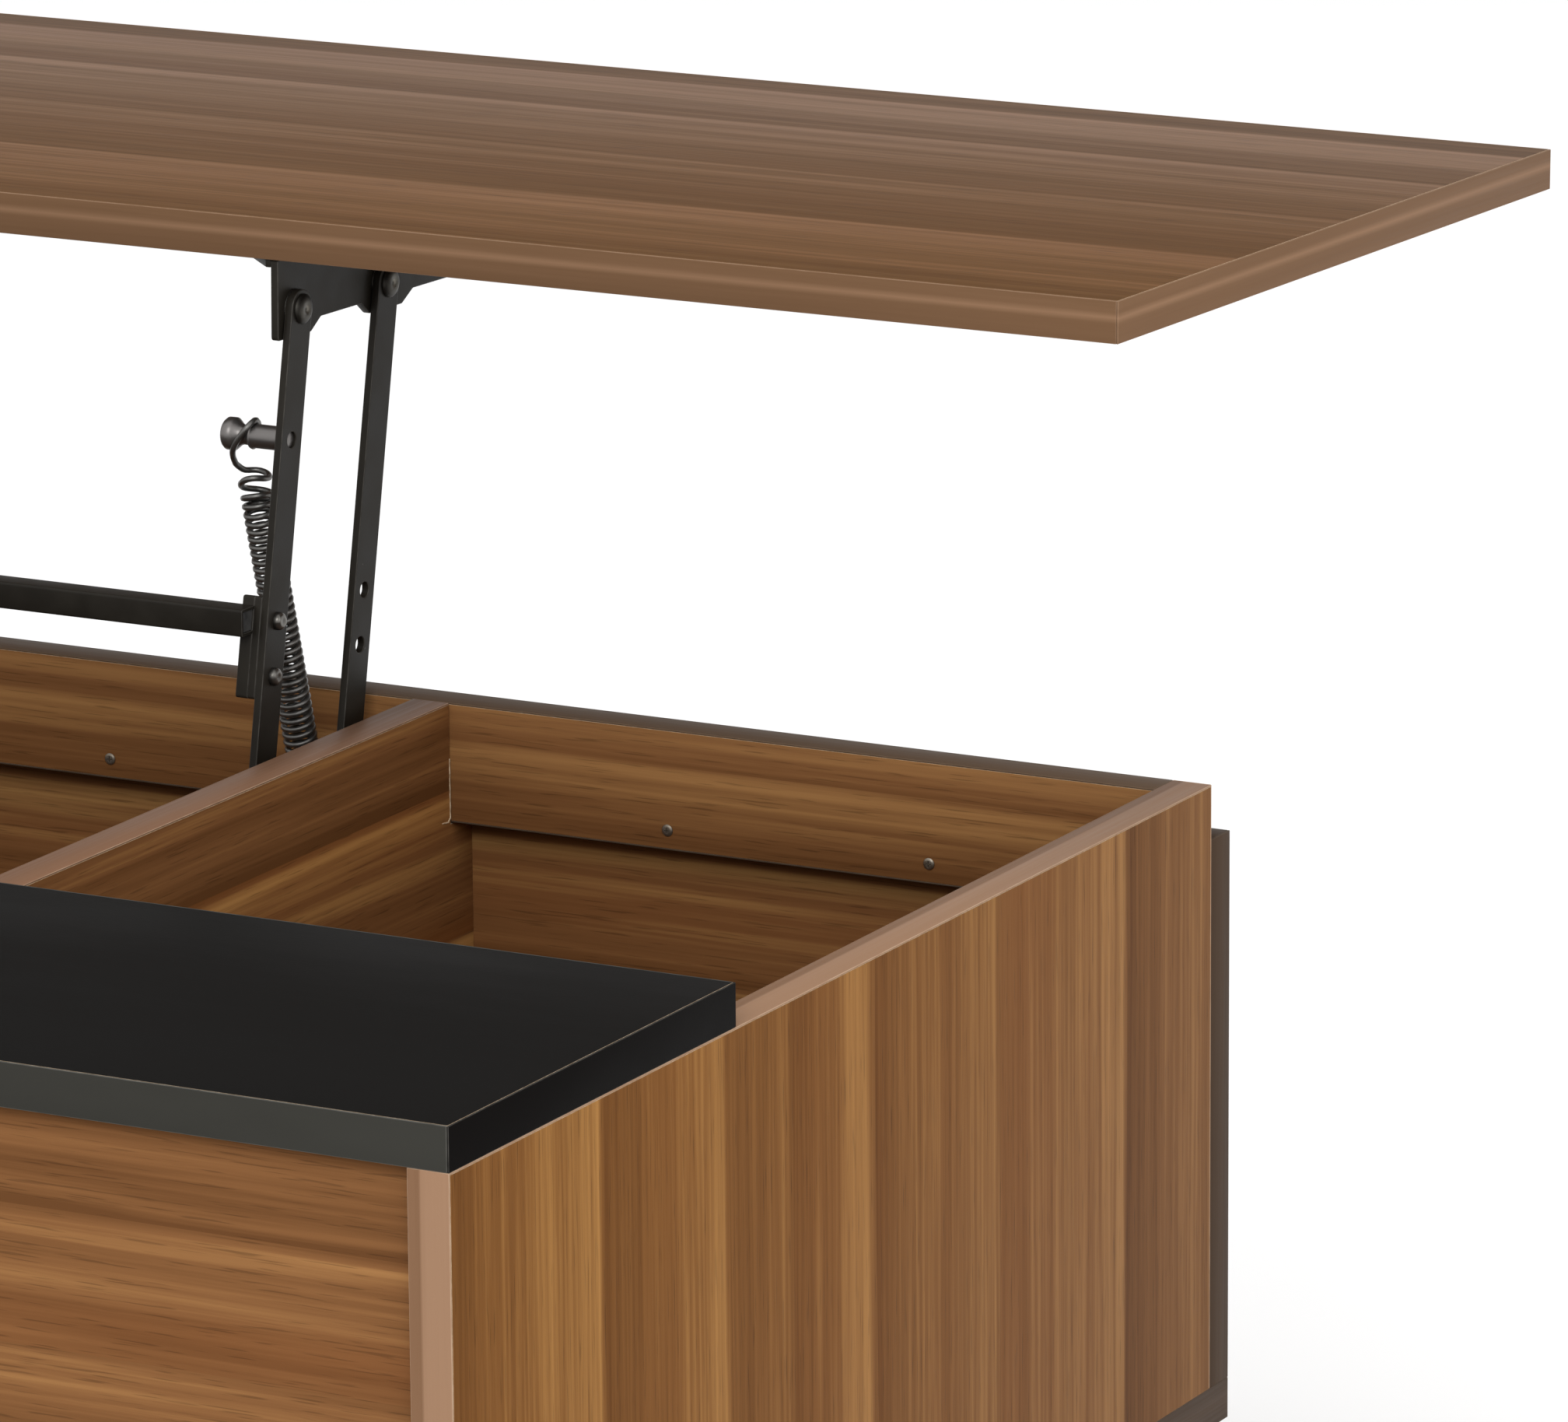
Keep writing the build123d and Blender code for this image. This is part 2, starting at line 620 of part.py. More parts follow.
with BuildPart() as top_bracket_screws:
    places = [(side * x, y) for side in (1, -1) for x, y in top_screw_places]
    with BuildSketch(lid_plane.offset(lid_pivot_drop - sheet)):
        with Locations(*places):
            Circle(bracket_screw_radius)
    extrude(amount=sheet)
    with BuildSketch(lid_plane.offset(lid_pivot_drop - sheet - low_head_height)):
        with Locations(*places):
            Circle(screw_head_radius)
    extrude(amount=low_head_height)
finish(top_bracket_screws.part, "top_bracket_screws")

# Each spring is a closed tube of the coil's size, with an end eye round the anchor and one round the stud.
spring_lean = radians(90 - bearing(anchor, stud))
eye_radius = stud_groove_radius + wire_radius + 0.3
coil_start, coil_end = 14.0, spring_length - 18.0
neck_length = 8.0


def on_spring(side, distance):
    """Plane square to the spring, that far from its anchor."""
    along = (0, sin(spring_lean), cos(spring_lean))
    return Plane(
        origin=(side * spring_x, anchor[0] + distance * along[1], anchor[1] + distance * along[2]),
        x_dir=(1, 0, 0),
        z_dir=along,
    )


for side, word in ((1, "right"), (-1, "left")):
    with BuildPart() as spring:
        with BuildSketch(on_spring(side, coil_start)):
            Circle(spring_radius)
            Circle(spring_radius - 2 * wire_radius, mode=Mode.SUBTRACT)
        extrude(amount=coil_end - neck_length - coil_start)
        with BuildSketch(on_spring(side, coil_start - wire_radius)):
            Circle(spring_radius)
        extrude(amount=2 * wire_radius)
        with BuildSketch(on_spring(side, eye_radius)):
            Circle(wire_radius)
        extrude(amount=coil_start - eye_radius)
        with BuildSketch(Plane.YZ.offset(side * spring_x)):
            with Locations(anchor):
                Circle(eye_radius + wire_radius)
                Circle(eye_radius - wire_radius, mode=Mode.SUBTRACT)
        extrude(amount=wire_radius, both=True)
    finish(spring.part, f"spring_{word}")

    with BuildPart() as spring_neck:
        with BuildSketch(on_spring(side, coil_end - neck_length + running_gap)):
            Circle(spring_radius)
            Circle(spring_radius - 2 * wire_radius, mode=Mode.SUBTRACT)
        extrude(amount=neck_length)
        with BuildSketch(on_spring(side, coil_end - wire_radius)):
            Circle(spring_radius)
        extrude(amount=2 * wire_radius)
        with BuildSketch(on_spring(side, coil_end)):
            Circle(wire_radius)
        extrude(amount=spring_length - coil_end - eye_radius - wire_radius - 0.3)
    finish(spring_neck.part, f"spring_neck_{word}")

with BuildPart() as spring_eyes:
    for side in (1, -1):
        with BuildSketch(Plane.YZ.offset(side * spring_x)):
            with Locations(stud):
                Circle(eye_radius + wire_radius)
                Circle(eye_radius - wire_radius, mode=Mode.SUBTRACT)
        extrude(amount=wire_radius, both=True)
finish(spring_eyes.part, "spring_eyes")

# ---- Places of the pivots and how far each moves, for the motion ----
stretch = (spring_length_closed - spring_length) / 1000 / radians(swing)
print("back", back, "rim", rim, "overall depth", overall_depth)
print("rear base", rear_base, "rear top", rear_top)
print("front base", front_base, "front top", front_top)
print("anchor", anchor, "stud", stud, "spring lengths", spring_length, spring_length_closed)
print("swing", swing, "front ratio", front_swing / swing, "lid ratio", -(swing - lift_tilt) / swing)
print("spring ratio", spring_swing / swing, "stretch per radian", stretch)
print("spring bearing", bearing(anchor, stud), "spring swing", spring_swing)
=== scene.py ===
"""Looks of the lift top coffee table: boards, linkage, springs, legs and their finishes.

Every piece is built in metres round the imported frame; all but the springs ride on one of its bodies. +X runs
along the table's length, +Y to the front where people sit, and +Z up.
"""

import json
import logging
import math
import random
from collections.abc import Sequence
from dataclasses import dataclass, replace
from enum import Enum

import bmesh
import bpy
from mathutils import Matrix, Vector

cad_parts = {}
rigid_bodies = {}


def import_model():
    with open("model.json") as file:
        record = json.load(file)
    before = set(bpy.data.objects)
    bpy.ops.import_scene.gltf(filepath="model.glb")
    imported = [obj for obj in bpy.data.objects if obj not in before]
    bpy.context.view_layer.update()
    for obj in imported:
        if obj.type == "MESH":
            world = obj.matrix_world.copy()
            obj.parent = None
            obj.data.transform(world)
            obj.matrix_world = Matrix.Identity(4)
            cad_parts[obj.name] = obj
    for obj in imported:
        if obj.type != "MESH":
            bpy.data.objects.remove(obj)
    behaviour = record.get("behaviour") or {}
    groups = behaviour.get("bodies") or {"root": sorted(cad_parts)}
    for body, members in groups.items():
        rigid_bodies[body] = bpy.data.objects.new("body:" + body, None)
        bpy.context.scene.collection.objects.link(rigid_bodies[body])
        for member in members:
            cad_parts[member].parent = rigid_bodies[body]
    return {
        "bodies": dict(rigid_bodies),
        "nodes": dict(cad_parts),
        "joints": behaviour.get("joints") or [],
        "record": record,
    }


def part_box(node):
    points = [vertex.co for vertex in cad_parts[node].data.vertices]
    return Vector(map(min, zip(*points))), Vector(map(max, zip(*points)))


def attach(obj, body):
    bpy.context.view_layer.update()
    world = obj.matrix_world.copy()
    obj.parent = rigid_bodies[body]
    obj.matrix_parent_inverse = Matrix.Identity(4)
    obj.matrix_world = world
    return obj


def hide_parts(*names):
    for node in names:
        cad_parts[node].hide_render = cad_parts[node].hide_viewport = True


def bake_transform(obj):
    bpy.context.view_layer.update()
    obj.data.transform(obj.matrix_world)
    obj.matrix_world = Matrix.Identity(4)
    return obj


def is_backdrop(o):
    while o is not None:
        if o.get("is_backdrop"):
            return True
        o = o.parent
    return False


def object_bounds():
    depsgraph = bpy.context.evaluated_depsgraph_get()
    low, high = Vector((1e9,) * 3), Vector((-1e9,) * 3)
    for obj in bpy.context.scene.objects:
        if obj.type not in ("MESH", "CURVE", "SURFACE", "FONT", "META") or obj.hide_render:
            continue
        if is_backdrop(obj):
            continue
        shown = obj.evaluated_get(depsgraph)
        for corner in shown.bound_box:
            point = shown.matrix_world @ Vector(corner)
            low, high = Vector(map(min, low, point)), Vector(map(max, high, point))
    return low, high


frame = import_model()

MM = 0.001
SIDES = (("right", 1), ("left", -1))
Colour = tuple[float, float, float]
log = logging.getLogger("lift_top_table")


# ---- Named options ----
class Grain(Enum):
    """Which way a board's grain runs; the value lists the axes along the grain, across it and through it."""

    LENGTHWISE = "XYZ"
    LENGTHWISE_UPRIGHT = "XZY"
    UPRIGHT = "ZYX"
    UPRIGHT_EDGE = "ZXY"
    CROSSWISE = "YZX"
    CROSSWISE_FLAT = "YXZ"


class Section(Enum):
    """Shape of a ring round a turned piece's axis."""

    ROUND = "round"
    SQUARE = "square"
    HEX = "hex"
    CROSS = "cross"


class Edge(Enum):
    """A side of a board, as its axis and the end of that axis."""

    LEFT = (0, 0)
    RIGHT = (0, 1)
    BACK = (1, 0)
    FRONT = (1, 1)
    UNDER = (2, 0)
    OVER = (2, 1)


# ---- Mesh work ----
@dataclass(frozen=True)
class Ring:
    """One ring of a turned piece: its place along the axis, its radius, its wear and its shape."""

    along: float
    radius: float
    wear: float = 0.0
    section: Section = Section.ROUND

    def reach(self, angle: float) -> float:
        """Distance from the axis to the ring at an angle."""
        if self.section is Section.SQUARE:
            power = 9
            total = abs(math.cos(angle)) ** power + abs(math.sin(angle)) ** power
            return self.radius / total ** (1 / power)
        if self.section is Section.HEX:
            sixth = math.pi / 3
            return self.radius / math.cos((angle % sixth) - sixth / 2)
        if self.section is Section.CROSS:
            return self.radius * (0.32 + 0.68 * max(0.0, math.cos(4 * angle)) ** 0.5)
        return self.radius


class Shape:
    """A mesh being made. Each point keeps how worn it is, from 0 to 1."""

    def __init__(self) -> None:
        """Starts with an empty mesh."""
        self.mesh = bmesh.new()
        self.wear = self.mesh.verts.layers.float.new("wear")

    def block(
        self,
        low: Vector,
        high: Vector,
        arris: float,
        slot: int = 0,
        end_slot: int | None = None,
        thin: int = 0,
    ) -> None:
        """Adds a box with eased edges.

        Args:
            low: Lowest corner.
            high: Highest corner.
            arris: Width of the eased edge.
            slot: Material slot of the faces.
            end_slot: Material slot of the faces that don't look along the thin axis.
            thin: The box's thin axis.
        """
        part = bmesh.new()
        bmesh.ops.create_cube(part, size=1)
        span = high - low
        for vert in part.verts:
            vert.co = Vector(low[i] + (vert.co[i] + 0.5) * span[i] for i in range(3))
        edges = part.edges[:]
        bmesh.ops.bevel(
            part, geom=edges, offset=arris, segments=2, profile=0.5, affect="EDGES", clamp_overlap=True
        )
        made = {}
        for vert in part.verts:
            flat = any(max(abs(c) for c in face.normal) > 0.999 for face in vert.link_faces)
            made[vert] = self.mesh.verts.new(vert.co)
            made[vert][self.wear] = 0.0 if flat else 1.0
        for face in part.faces:
            new = self.mesh.faces.new([made[v] for v in face.verts])
            new.smooth = max(abs(c) for c in face.normal) < 0.999
            looks_thin = abs(face.normal[thin]) > 0.5
            new.material_index = slot if end_slot is None or looks_thin else end_slot
        part.free()

    def plate(
        self,
        outline: Sequence[tuple[float, float]],
        holes: Sequence[Sequence[tuple[float, float]]],
        thickness: float,
        place: Matrix,
        arris: float = 0.35 * MM,
        slot: int = 0,
    ) -> None:
        """Adds a flat plate with eased edges and holes.

        Args:
            outline: Outer line, as points in the plate's plane.
            holes: Lines of the holes.
            thickness: Thickness along the plate's local Z, from 0 up.
            place: Puts the plate where it belongs.
            arris: Width of the eased edge.
            slot: Material slot of the faces.
        """
        curve = bpy.data.curves.new("outline", "CURVE")
        curve.dimensions, curve.fill_mode = "2D", "BOTH"
        curve.extrude = thickness / 2 - arris
        curve.bevel_depth, curve.bevel_resolution, curve.offset = arris, 1, -arris
        for line in (outline, *holes):
            spline = curve.splines.new("POLY")
            spline.points.add(len(line) - 1)
            for point, (x, y) in zip(spline.points, line):
                point.co = (x, y, 0, 1)
            spline.use_cyclic_u = True
        holder = bpy.data.objects.new("outline", curve)
        flat = bpy.data.meshes.new_from_object(holder)
        made = []
        for vert in flat.vertices:
            depth = abs(vert.co.z)
            worn = thickness / 2 - 0.9 * arris < depth < thickness / 2 - 0.1 * arris
            new = self.mesh.verts.new(place @ (vert.co + Vector((0, 0, thickness / 2))))
            new[self.wear] = 1.0 if worn else 0.0
            made.append(new)
        for face in flat.polygons:
            corners = [made[i] for i in face.vertices]
            if len(set(corners)) < 3 or self.mesh.faces.get(corners):
                continue
            new = self.mesh.faces.new(corners)
            new.smooth = abs(face.normal.z) < 0.999
            new.material_index = slot
        bpy.data.objects.remove(holder)
        bpy.data.curves.remove(curve)
        bpy.data.meshes.remove(flat)

    def turned(self, rings: Sequence[Ring], place: Matrix, steps: int = 32, slot: int = 0) -> None:
        """Adds a piece turned round its local Z; a ring of no radius closes an end.

        Args:
            rings: The rings from one end to the other.
            place: Puts the piece where it belongs.
            steps: Points round each ring.
            slot: Material slot of the faces.
        """
        loops = []
        for ring in rings:
            if ring.radius == 0:
                angles = [0.0]
            else:
                angles = [2 * math.pi * i / steps for i in range(steps)]
            loop = []
            for angle in angles:
                reach = ring.reach(angle)
                local = Vector((reach * math.cos(angle), reach * math.sin(angle), ring.along))
                vert = self.mesh.verts.new(place @ local)
                vert[self.wear] = ring.wear
                loop.append(vert)
            loops.append(loop)
        for first, second in zip(loops, loops[1:]):
            self._skin(first, second, slot)

    def _skin(self, first: list, second: list, slot: int) -> None:
        """Joins two loops of points with faces, where either may be one point."""
        count = max(len(first), len(second))
        for i in range(count):
            j = (i + 1) % count
            if len(first) == 1:
                corners = [first[0], second[j], second[i]]
            elif len(second) == 1:
                corners = [first[i], first[j], second[0]]
            else:
                corners = [first[i], first[j], second[j], second[i]]
            face = self.mesh.faces.new(corners)
            face.smooth = True
            face.material_index = slot

    def wire(self, path: Sequence[Vector], radius: float, sides: int = 10, slot: int = 0) -> None:
        """Adds a round wire with domed ends along a path.

        Args:
            path: Points of the wire's middle line.
            radius: Radius of the wire.
            sides: Points round the wire.
            slot: Material slot of the faces.
        """
        last = len(path) - 1
        tangents = [(path[min(i + 1, last)] - path[max(i - 1, 0)]).normalized() for i in range(last + 1)]
        across = tangents[0].orthogonal().normalized()
        loops = [[self.mesh.verts.new(path[0] - tangents[0] * radius * 0.6)]]
        for point, tangent in zip(path, tangents):
            across = (across - tangent * across.dot(tangent)).normalized()
            up = tangent.cross(across)
            angles = [2 * math.pi * i / sides for i in range(sides)]
            spots = [point + (across * math.cos(a) + up * math.sin(a)) * radius for a in angles]
            loops.append([self.mesh.verts.new(spot) for spot in spots])
        loops.append([self.mesh.verts.new(path[-1] + tangents[-1] * radius * 0.6)])
        for first, second in zip(loops, loops[1:]):
            self._skin(first, second, slot)

    def piece(self, name: str, finishes: Sequence["Finish"], place: Matrix | None = None) -> bpy.types.Object:
        """Ends the mesh as an object.

        Args:
            name: Name of the piece.
            finishes: Finish of each material slot.
            place: Where the object stands; the frame's own origin if none is given.

        Returns:
            The new object.
        """
        bmesh.ops.recalc_face_normals(self.mesh, faces=self.mesh.faces[:])
        data = bpy.data.meshes.new(name)
        self.mesh.to_mesh(data)
        self.mesh.free()
        data.set_sharp_from_angle(angle=math.radians(48))
        for finish in finishes:
            data.materials.append(finish.material())
        made = bpy.data.objects.new(name, data)
        bpy.context.scene.collection.objects.link(made)
        if place is not None:
            made.matrix_world = place
        return made


def circle(centre: tuple[float, float], radius: float, steps: int = 32) -> list[tuple[float, float]]:
    """Points of a circle in a plane."""
    turns = [2 * math.pi * i / steps for i in range(steps)]
    return [(centre[0] + radius * math.cos(a), centre[1] + radius * math.sin(a)) for a in turns]


def slot_line(start: tuple[float, float], end: tuple[float, float], width: float, steps: int = 14) -> list:
    """Outline of a bar with round ends, from one end's centre to the other's."""
    heading = math.atan2(end[1] - start[1], end[0] - start[0])
    line = []
    for centre, first in ((end, heading - math.pi / 2), (start, heading + math.pi / 2)):
        for i in range(steps + 1):
            angle = first + math.pi * i / steps
            line.append((centre[0] + width / 2 * math.cos(angle), centre[1] + width / 2 * math.sin(angle)))
    return line


def rounded(
    corners: Sequence[tuple[float, float]], radius: float, steps: int = 5
) -> list[tuple[float, float]]:
    """Replaces each corner of a closed outline by an arc.

    Args:
        corners: The outline's corners in order.
        radius: Radius of the arcs; short sides make it smaller.
        steps: Spans of each arc.

    Returns:
        The points of the rounded outline.
    """
    line = []
    for i, corner in enumerate(corners):
        here = Vector(corner)
        before, after = Vector(corners[i - 1]) - here, Vector(corners[(i + 1) % len(corners)]) - here
        half = before.angle(after) / 2
        run = min(radius / math.tan(half), 0.45 * before.length, 0.45 * after.length)
        start, end = here + before.normalized() * run, here + after.normalized() * run
        for k in range(steps + 1):
            t = k / steps
            point = start * (1 - t) ** 2 + here * 2 * t * (1 - t) + end * t**2
            line.append((point.x, point.y))
    return line


# ---- Shader work ----
class Nodes:
    """Writes nodes into a tree; a value may be a number, a vector, a colour or another node's output."""

    def __init__(self, tree: bpy.types.NodeTree) -> None:
        """Works on that tree."""
        self.tree = tree

    def add(self, kind: str, inputs: dict | None = None, **settings: object) -> bpy.types.Node:
        """Adds a node.

        Args:
            kind: The node's type.
            inputs: Value or output for each input that is set.
            settings: Settings of the node.

        Returns:
            The node.
        """
        node = self.tree.nodes.new(kind)
        for key, value in settings.items():
            setattr(node, key, value)
        for key, value in (inputs or {}).items():
            self.put(node.inputs[key], value)
        return node

    def put(self, socket: bpy.types.NodeSocket, value: object) -> None:
        """Links an output to an input, or sets the input's own value."""
        if isinstance(value, bpy.types.NodeSocket):
            self.tree.links.new(value, socket)
        elif socket.type == "RGBA" and len(value) == 3:
            socket.default_value = (*value, 1.0)
        else:
            socket.default_value = value

    def math(self, operation: str, *values: object, clamp: bool = False) -> bpy.types.NodeSocket:
        """Result of a sum on numbers."""
        node = self.add("ShaderNodeMath", dict(enumerate(values)), operation=operation, use_clamp=clamp)
        return node.outputs[0]

    def vector(self, operation: str, *values: object) -> bpy.types.NodeSocket:
        """Result of a sum on vectors."""
        return self.add("ShaderNodeVectorMath", dict(enumerate(values)), operation=operation).outputs[0]

    def mix(self, factor: object, first: object, second: object, blend: str = "MIX") -> bpy.types.NodeSocket:
        """Mixes two colours."""
        node = self.add("ShaderNodeMix", {0: factor, 6: first, 7: second}, data_type="RGBA", blend_type=blend)
        return node.outputs[2]

    def noise(
        self, vector: object, scale: float, detail: float = 2.0, rough: float = 0.5
    ) -> bpy.types.NodeSocket:
        """Soft noise from 0 to 1."""
        inputs = {"Vector": vector, "Scale": scale, "Detail": detail, "Roughness": rough}
        return self.add("ShaderNodeTexNoise", inputs).outputs["Fac"]

    def ramp(
        self, value: object, low: float, high: float, to_low: float = 0.0, to_high: float = 1.0
    ) -> object:
        """Maps a range of a value to another with soft ends."""
        inputs = {0: value, 1: low, 2: high, 3: to_low, 4: to_high}
        return self.add("ShaderNodeMapRange", inputs, interpolation_type="SMOOTHSTEP").outputs[0]

    def combine(self, x: object, y: object, z: object) -> bpy.types.NodeSocket:
        """Vector of three numbers."""
        return self.add("ShaderNodeCombineXYZ", {0: x, 1: y, 2: z}).outputs[0]

    def profile(self, value: object, stops: Sequence[tuple[float, float]], stepped: bool = False) -> object:
        """Level that follows stops of (place, level).

        Args:
            value: Place from 0 to 1.
            stops: Up to 32 places with their levels, in order.
            stepped: Whether each level holds until the next stop.

        Returns:
            The level's output.
        """
        node = self.add("ShaderNodeValToRGB", {0: value})
        node.color_ramp.interpolation = "CONSTANT" if stepped else "LINEAR"
        elements = node.color_ramp.elements
        elements.remove(elements[1])
        elements[0].position, elements[0].color = stops[0][0], (stops[0][1],) * 3 + (1,)
        for place, level in stops[1:]:
            elements.new(place).color = (level, level, level, 1)
        return node.outputs[0]

    def split(self, vector: object) -> tuple:
        """The three numbers of a vector."""
        return tuple(self.add("ShaderNodeSeparateXYZ", {0: vector}).outputs)

    def random(self, vector: object) -> tuple:
        """Random number and colour that a vector always gives."""
        node = self.add("ShaderNodeTexWhiteNoise", {"Vector": vector}, noise_dimensions="3D")
        return node.outputs["Value"], node.outputs["Color"]


class Effect(Enum):
    """The node groups that several finishes share."""

    STRIP_GRAIN = "strip_grain"
    EDGE_WEAR = "edge_wear"
    SPECKS = "specks"
    MOTTLE = "mottle"

    def tree(self) -> bpy.types.NodeTree:
        """The group's tree, made when it is first asked for."""
        found = bpy.data.node_groups.get(self.value)
        if found:
            return found
        tree = bpy.data.node_groups.new(self.value, "ShaderNodeTree")
        writers = {
            Effect.STRIP_GRAIN: write_strip_grain,
            Effect.EDGE_WEAR: write_edge_wear,
            Effect.SPECKS: write_specks,
            Effect.MOTTLE: write_mottle,
        }
        writers[self](tree)
        return tree

    def place(self, nodes: Nodes, **inputs: object) -> bpy.types.NodeOutputs:
        """Puts the group in a material.

        Args:
            nodes: Writer of the material's tree.
            inputs: Value of each input, with _ for the spaces of its name.

        Returns:
            The group's outputs.
        """
        node = nodes.add("ShaderNodeGroup", node_tree=self.tree())
        for key, value in inputs.items():
            nodes.put(node.inputs[key.replace("_", " ")], value)
        return node.outputs


def open_group(tree: bpy.types.NodeTree, inputs: dict[str, str], outputs: dict[str, str]) -> tuple:
    """Makes a group's sockets.

    Args:
        tree: The group's tree.
        inputs: Socket type of each input.
        outputs: Socket type of each output.

    Returns:
        A writer of the tree, the group's inputs and the node that takes its outputs.
    """
    for names, way in ((inputs, "INPUT"), (outputs, "OUTPUT")):
        for name, kind in names.items():
            tree.interface.new_socket(name, in_out=way, socket_type=f"NodeSocket{kind}")
    nodes = Nodes(tree)
    return nodes, nodes.add("NodeGroupInput").outputs, nodes.add("NodeGroupOutput")


def write_strip_grain(tree: bpy.types.NodeTree) -> None:
    """Printed walnut. Vector's X runs along the grain, Y across it and Z through the board."""
    inputs = {"Vector": "Vector", "Tone": "Float", "Strip": "Float", "Seed": "Float", "Figure": "Float"}
    inputs |= {"Light": "Color", "Middle": "Color", "Dark": "Color", "Red": "Color"}
    nodes, given, result = open_group(tree, inputs, {"Colour": "Color", "Grain": "Float", "Height": "Float"})
    along, across, through = nodes.split(given["Vector"])
    chance = nodes.random(nodes.combine(given["Strip"], given["Seed"], 3.0))[1]
    hue, slide, turn = nodes.split(chance)
    shifted = nodes.math("ADD", along, nodes.math("MULTIPLY", slide, 7.0))
    own = nodes.combine(shifted, nodes.math("ADD", across, turn), nodes.math("ADD", through, given["Seed"]))

    def streaks(lengthwise: float, crosswise: float, detail: float) -> bpy.types.NodeSocket:
        """Noise drawn out along the grain."""
        stretched = nodes.vector("MULTIPLY", own, (lengthwise, crosswise, crosswise))
        return nodes.noise(stretched, 1.0, detail, 0.55)

    bend = nodes.math("MULTIPLY", streaks(3.2, 22.0, 2.0), 2.6)
    bend = nodes.math("ADD", bend, nodes.math("MULTIPLY", across, 60.0))
    rings = nodes.math("SINE", nodes.math("MULTIPLY", bend, 6.2832))
    fibre = nodes.ramp(streaks(7.0, 420.0, 3.0), 0.3, 0.7)
    pores = nodes.ramp(streaks(45.0, 1300.0, 1.0), 0.60, 0.72)
    figure = nodes.math("MULTIPLY", rings, nodes.math("MULTIPLY", given["Figure"], 0.5))
    value = nodes.math("ADD", given["Tone"], figure)
    for part, weight in ((nodes.ramp(streaks(1.3, 110.0, 3.0), 0.3, 0.7), 0.26), (fibre, 0.24)):
        value = nodes.math("ADD", value, nodes.math("MULTIPLY", nodes.math("SUBTRACT", part, 0.5), weight))
    lower = nodes.math("MULTIPLY", value, 2.0, clamp=True)
    upper = nodes.math("SUBTRACT", nodes.math("MULTIPLY", value, 2.0), 1.0, clamp=True)
    colour = nodes.mix(upper, nodes.mix(lower, given["Dark"], given["Middle"]), given["Light"])
    warm = nodes.math("MULTIPLY", nodes.ramp(streaks(0.8, 30.0, 1.0), 0.4, 0.75), nodes.ramp(hue, 0.2, 1.0))
    colour = nodes.mix(nodes.math("MULTIPLY", warm, 0.5), colour, given["Red"])
    shade = nodes.math("SUBTRACT", 1.0, nodes.math("MULTIPLY", pores, 0.3))
    shade = nodes.combine(shade, shade, shade)
    nodes.put(result.inputs["Colour"], nodes.mix(1.0, colour, shade, "MULTIPLY"))
    nodes.put(result.inputs["Grain"], value)
    nodes.put(result.inputs["Height"], nodes.math("SUBTRACT", nodes.math("MULTIPLY", fibre, 0.4), pores))


def write_edge_wear(tree: bpy.types.NodeTree) -> None:
    """Wear along eased edges, broken up unevenly."""
    inputs = {"Vector": "Vector", "Amount": "Float", "Patch Size": "Float"}
    nodes, given, result = open_group(tree, inputs, {"Mask": "Float"})
    worn = nodes.add("ShaderNodeAttribute", attribute_name="wear").outputs["Fac"]
    scaled = nodes.add("ShaderNodeVectorMath", {0: given["Vector"]}, operation="SCALE")
    nodes.put(scaled.inputs["Scale"], nodes.math("DIVIDE", 1.0, given["Patch Size"]))
    broken = nodes.ramp(nodes.noise(scaled.outputs[0], 1.0, 3.0), 0.25, 0.65, 0.35, 1.0)
    mask = nodes.math("MULTIPLY", nodes.math("MULTIPLY", worn, broken), given["Amount"], clamp=True)
    nodes.put(result.inputs["Mask"], mask)


def write_specks(tree: bpy.types.NodeTree) -> None:
    """Sparse specks of dust and tiny chips."""
    inputs = {"Vector": "Vector", "Spacing": "Float", "Size": "Float"}
    nodes, given, result = open_group(tree, inputs, {"Mask": "Float"})
    scaled = nodes.add("ShaderNodeVectorMath", {0: given["Vector"]}, operation="SCALE")
    nodes.put(scaled.inputs["Scale"], nodes.math("DIVIDE", 1.0, given["Spacing"]))
    cells = nodes.add("ShaderNodeTexVoronoi", {"Vector": scaled.outputs[0], "Scale": 1.0}, feature="F1")
    chance = nodes.split(cells.outputs["Color"])[0]
    size = nodes.math("DIVIDE", given["Size"], given["Spacing"])
    near = nodes.math("LESS_THAN", cells.outputs["Distance"], size)
    nodes.put(result.inputs["Mask"], nodes.math("MULTIPLY", near, nodes.ramp(chance, 0.45, 0.9)))


def write_mottle(tree: bpy.types.NodeTree) -> None:
    """Broad uneven patches with a finer tooth in them."""
    inputs = {"Vector": "Vector", "Patch Size": "Float", "Tooth Size": "Float"}
    nodes, given, result = open_group(tree, inputs, {"Patches": "Float", "Tooth": "Float"})
    for name, size, detail in (("Patches", "Patch Size", 3.0), ("Tooth", "Tooth Size", 1.0)):
        scaled = nodes.add("ShaderNodeVectorMath", {0: given["Vector"]}, operation="SCALE")
        nodes.put(scaled.inputs["Scale"], nodes.math("DIVIDE", 1.0, given[size]))
        nodes.put(result.inputs[name], nodes.noise(scaled.outputs[0], 1.0, detail))


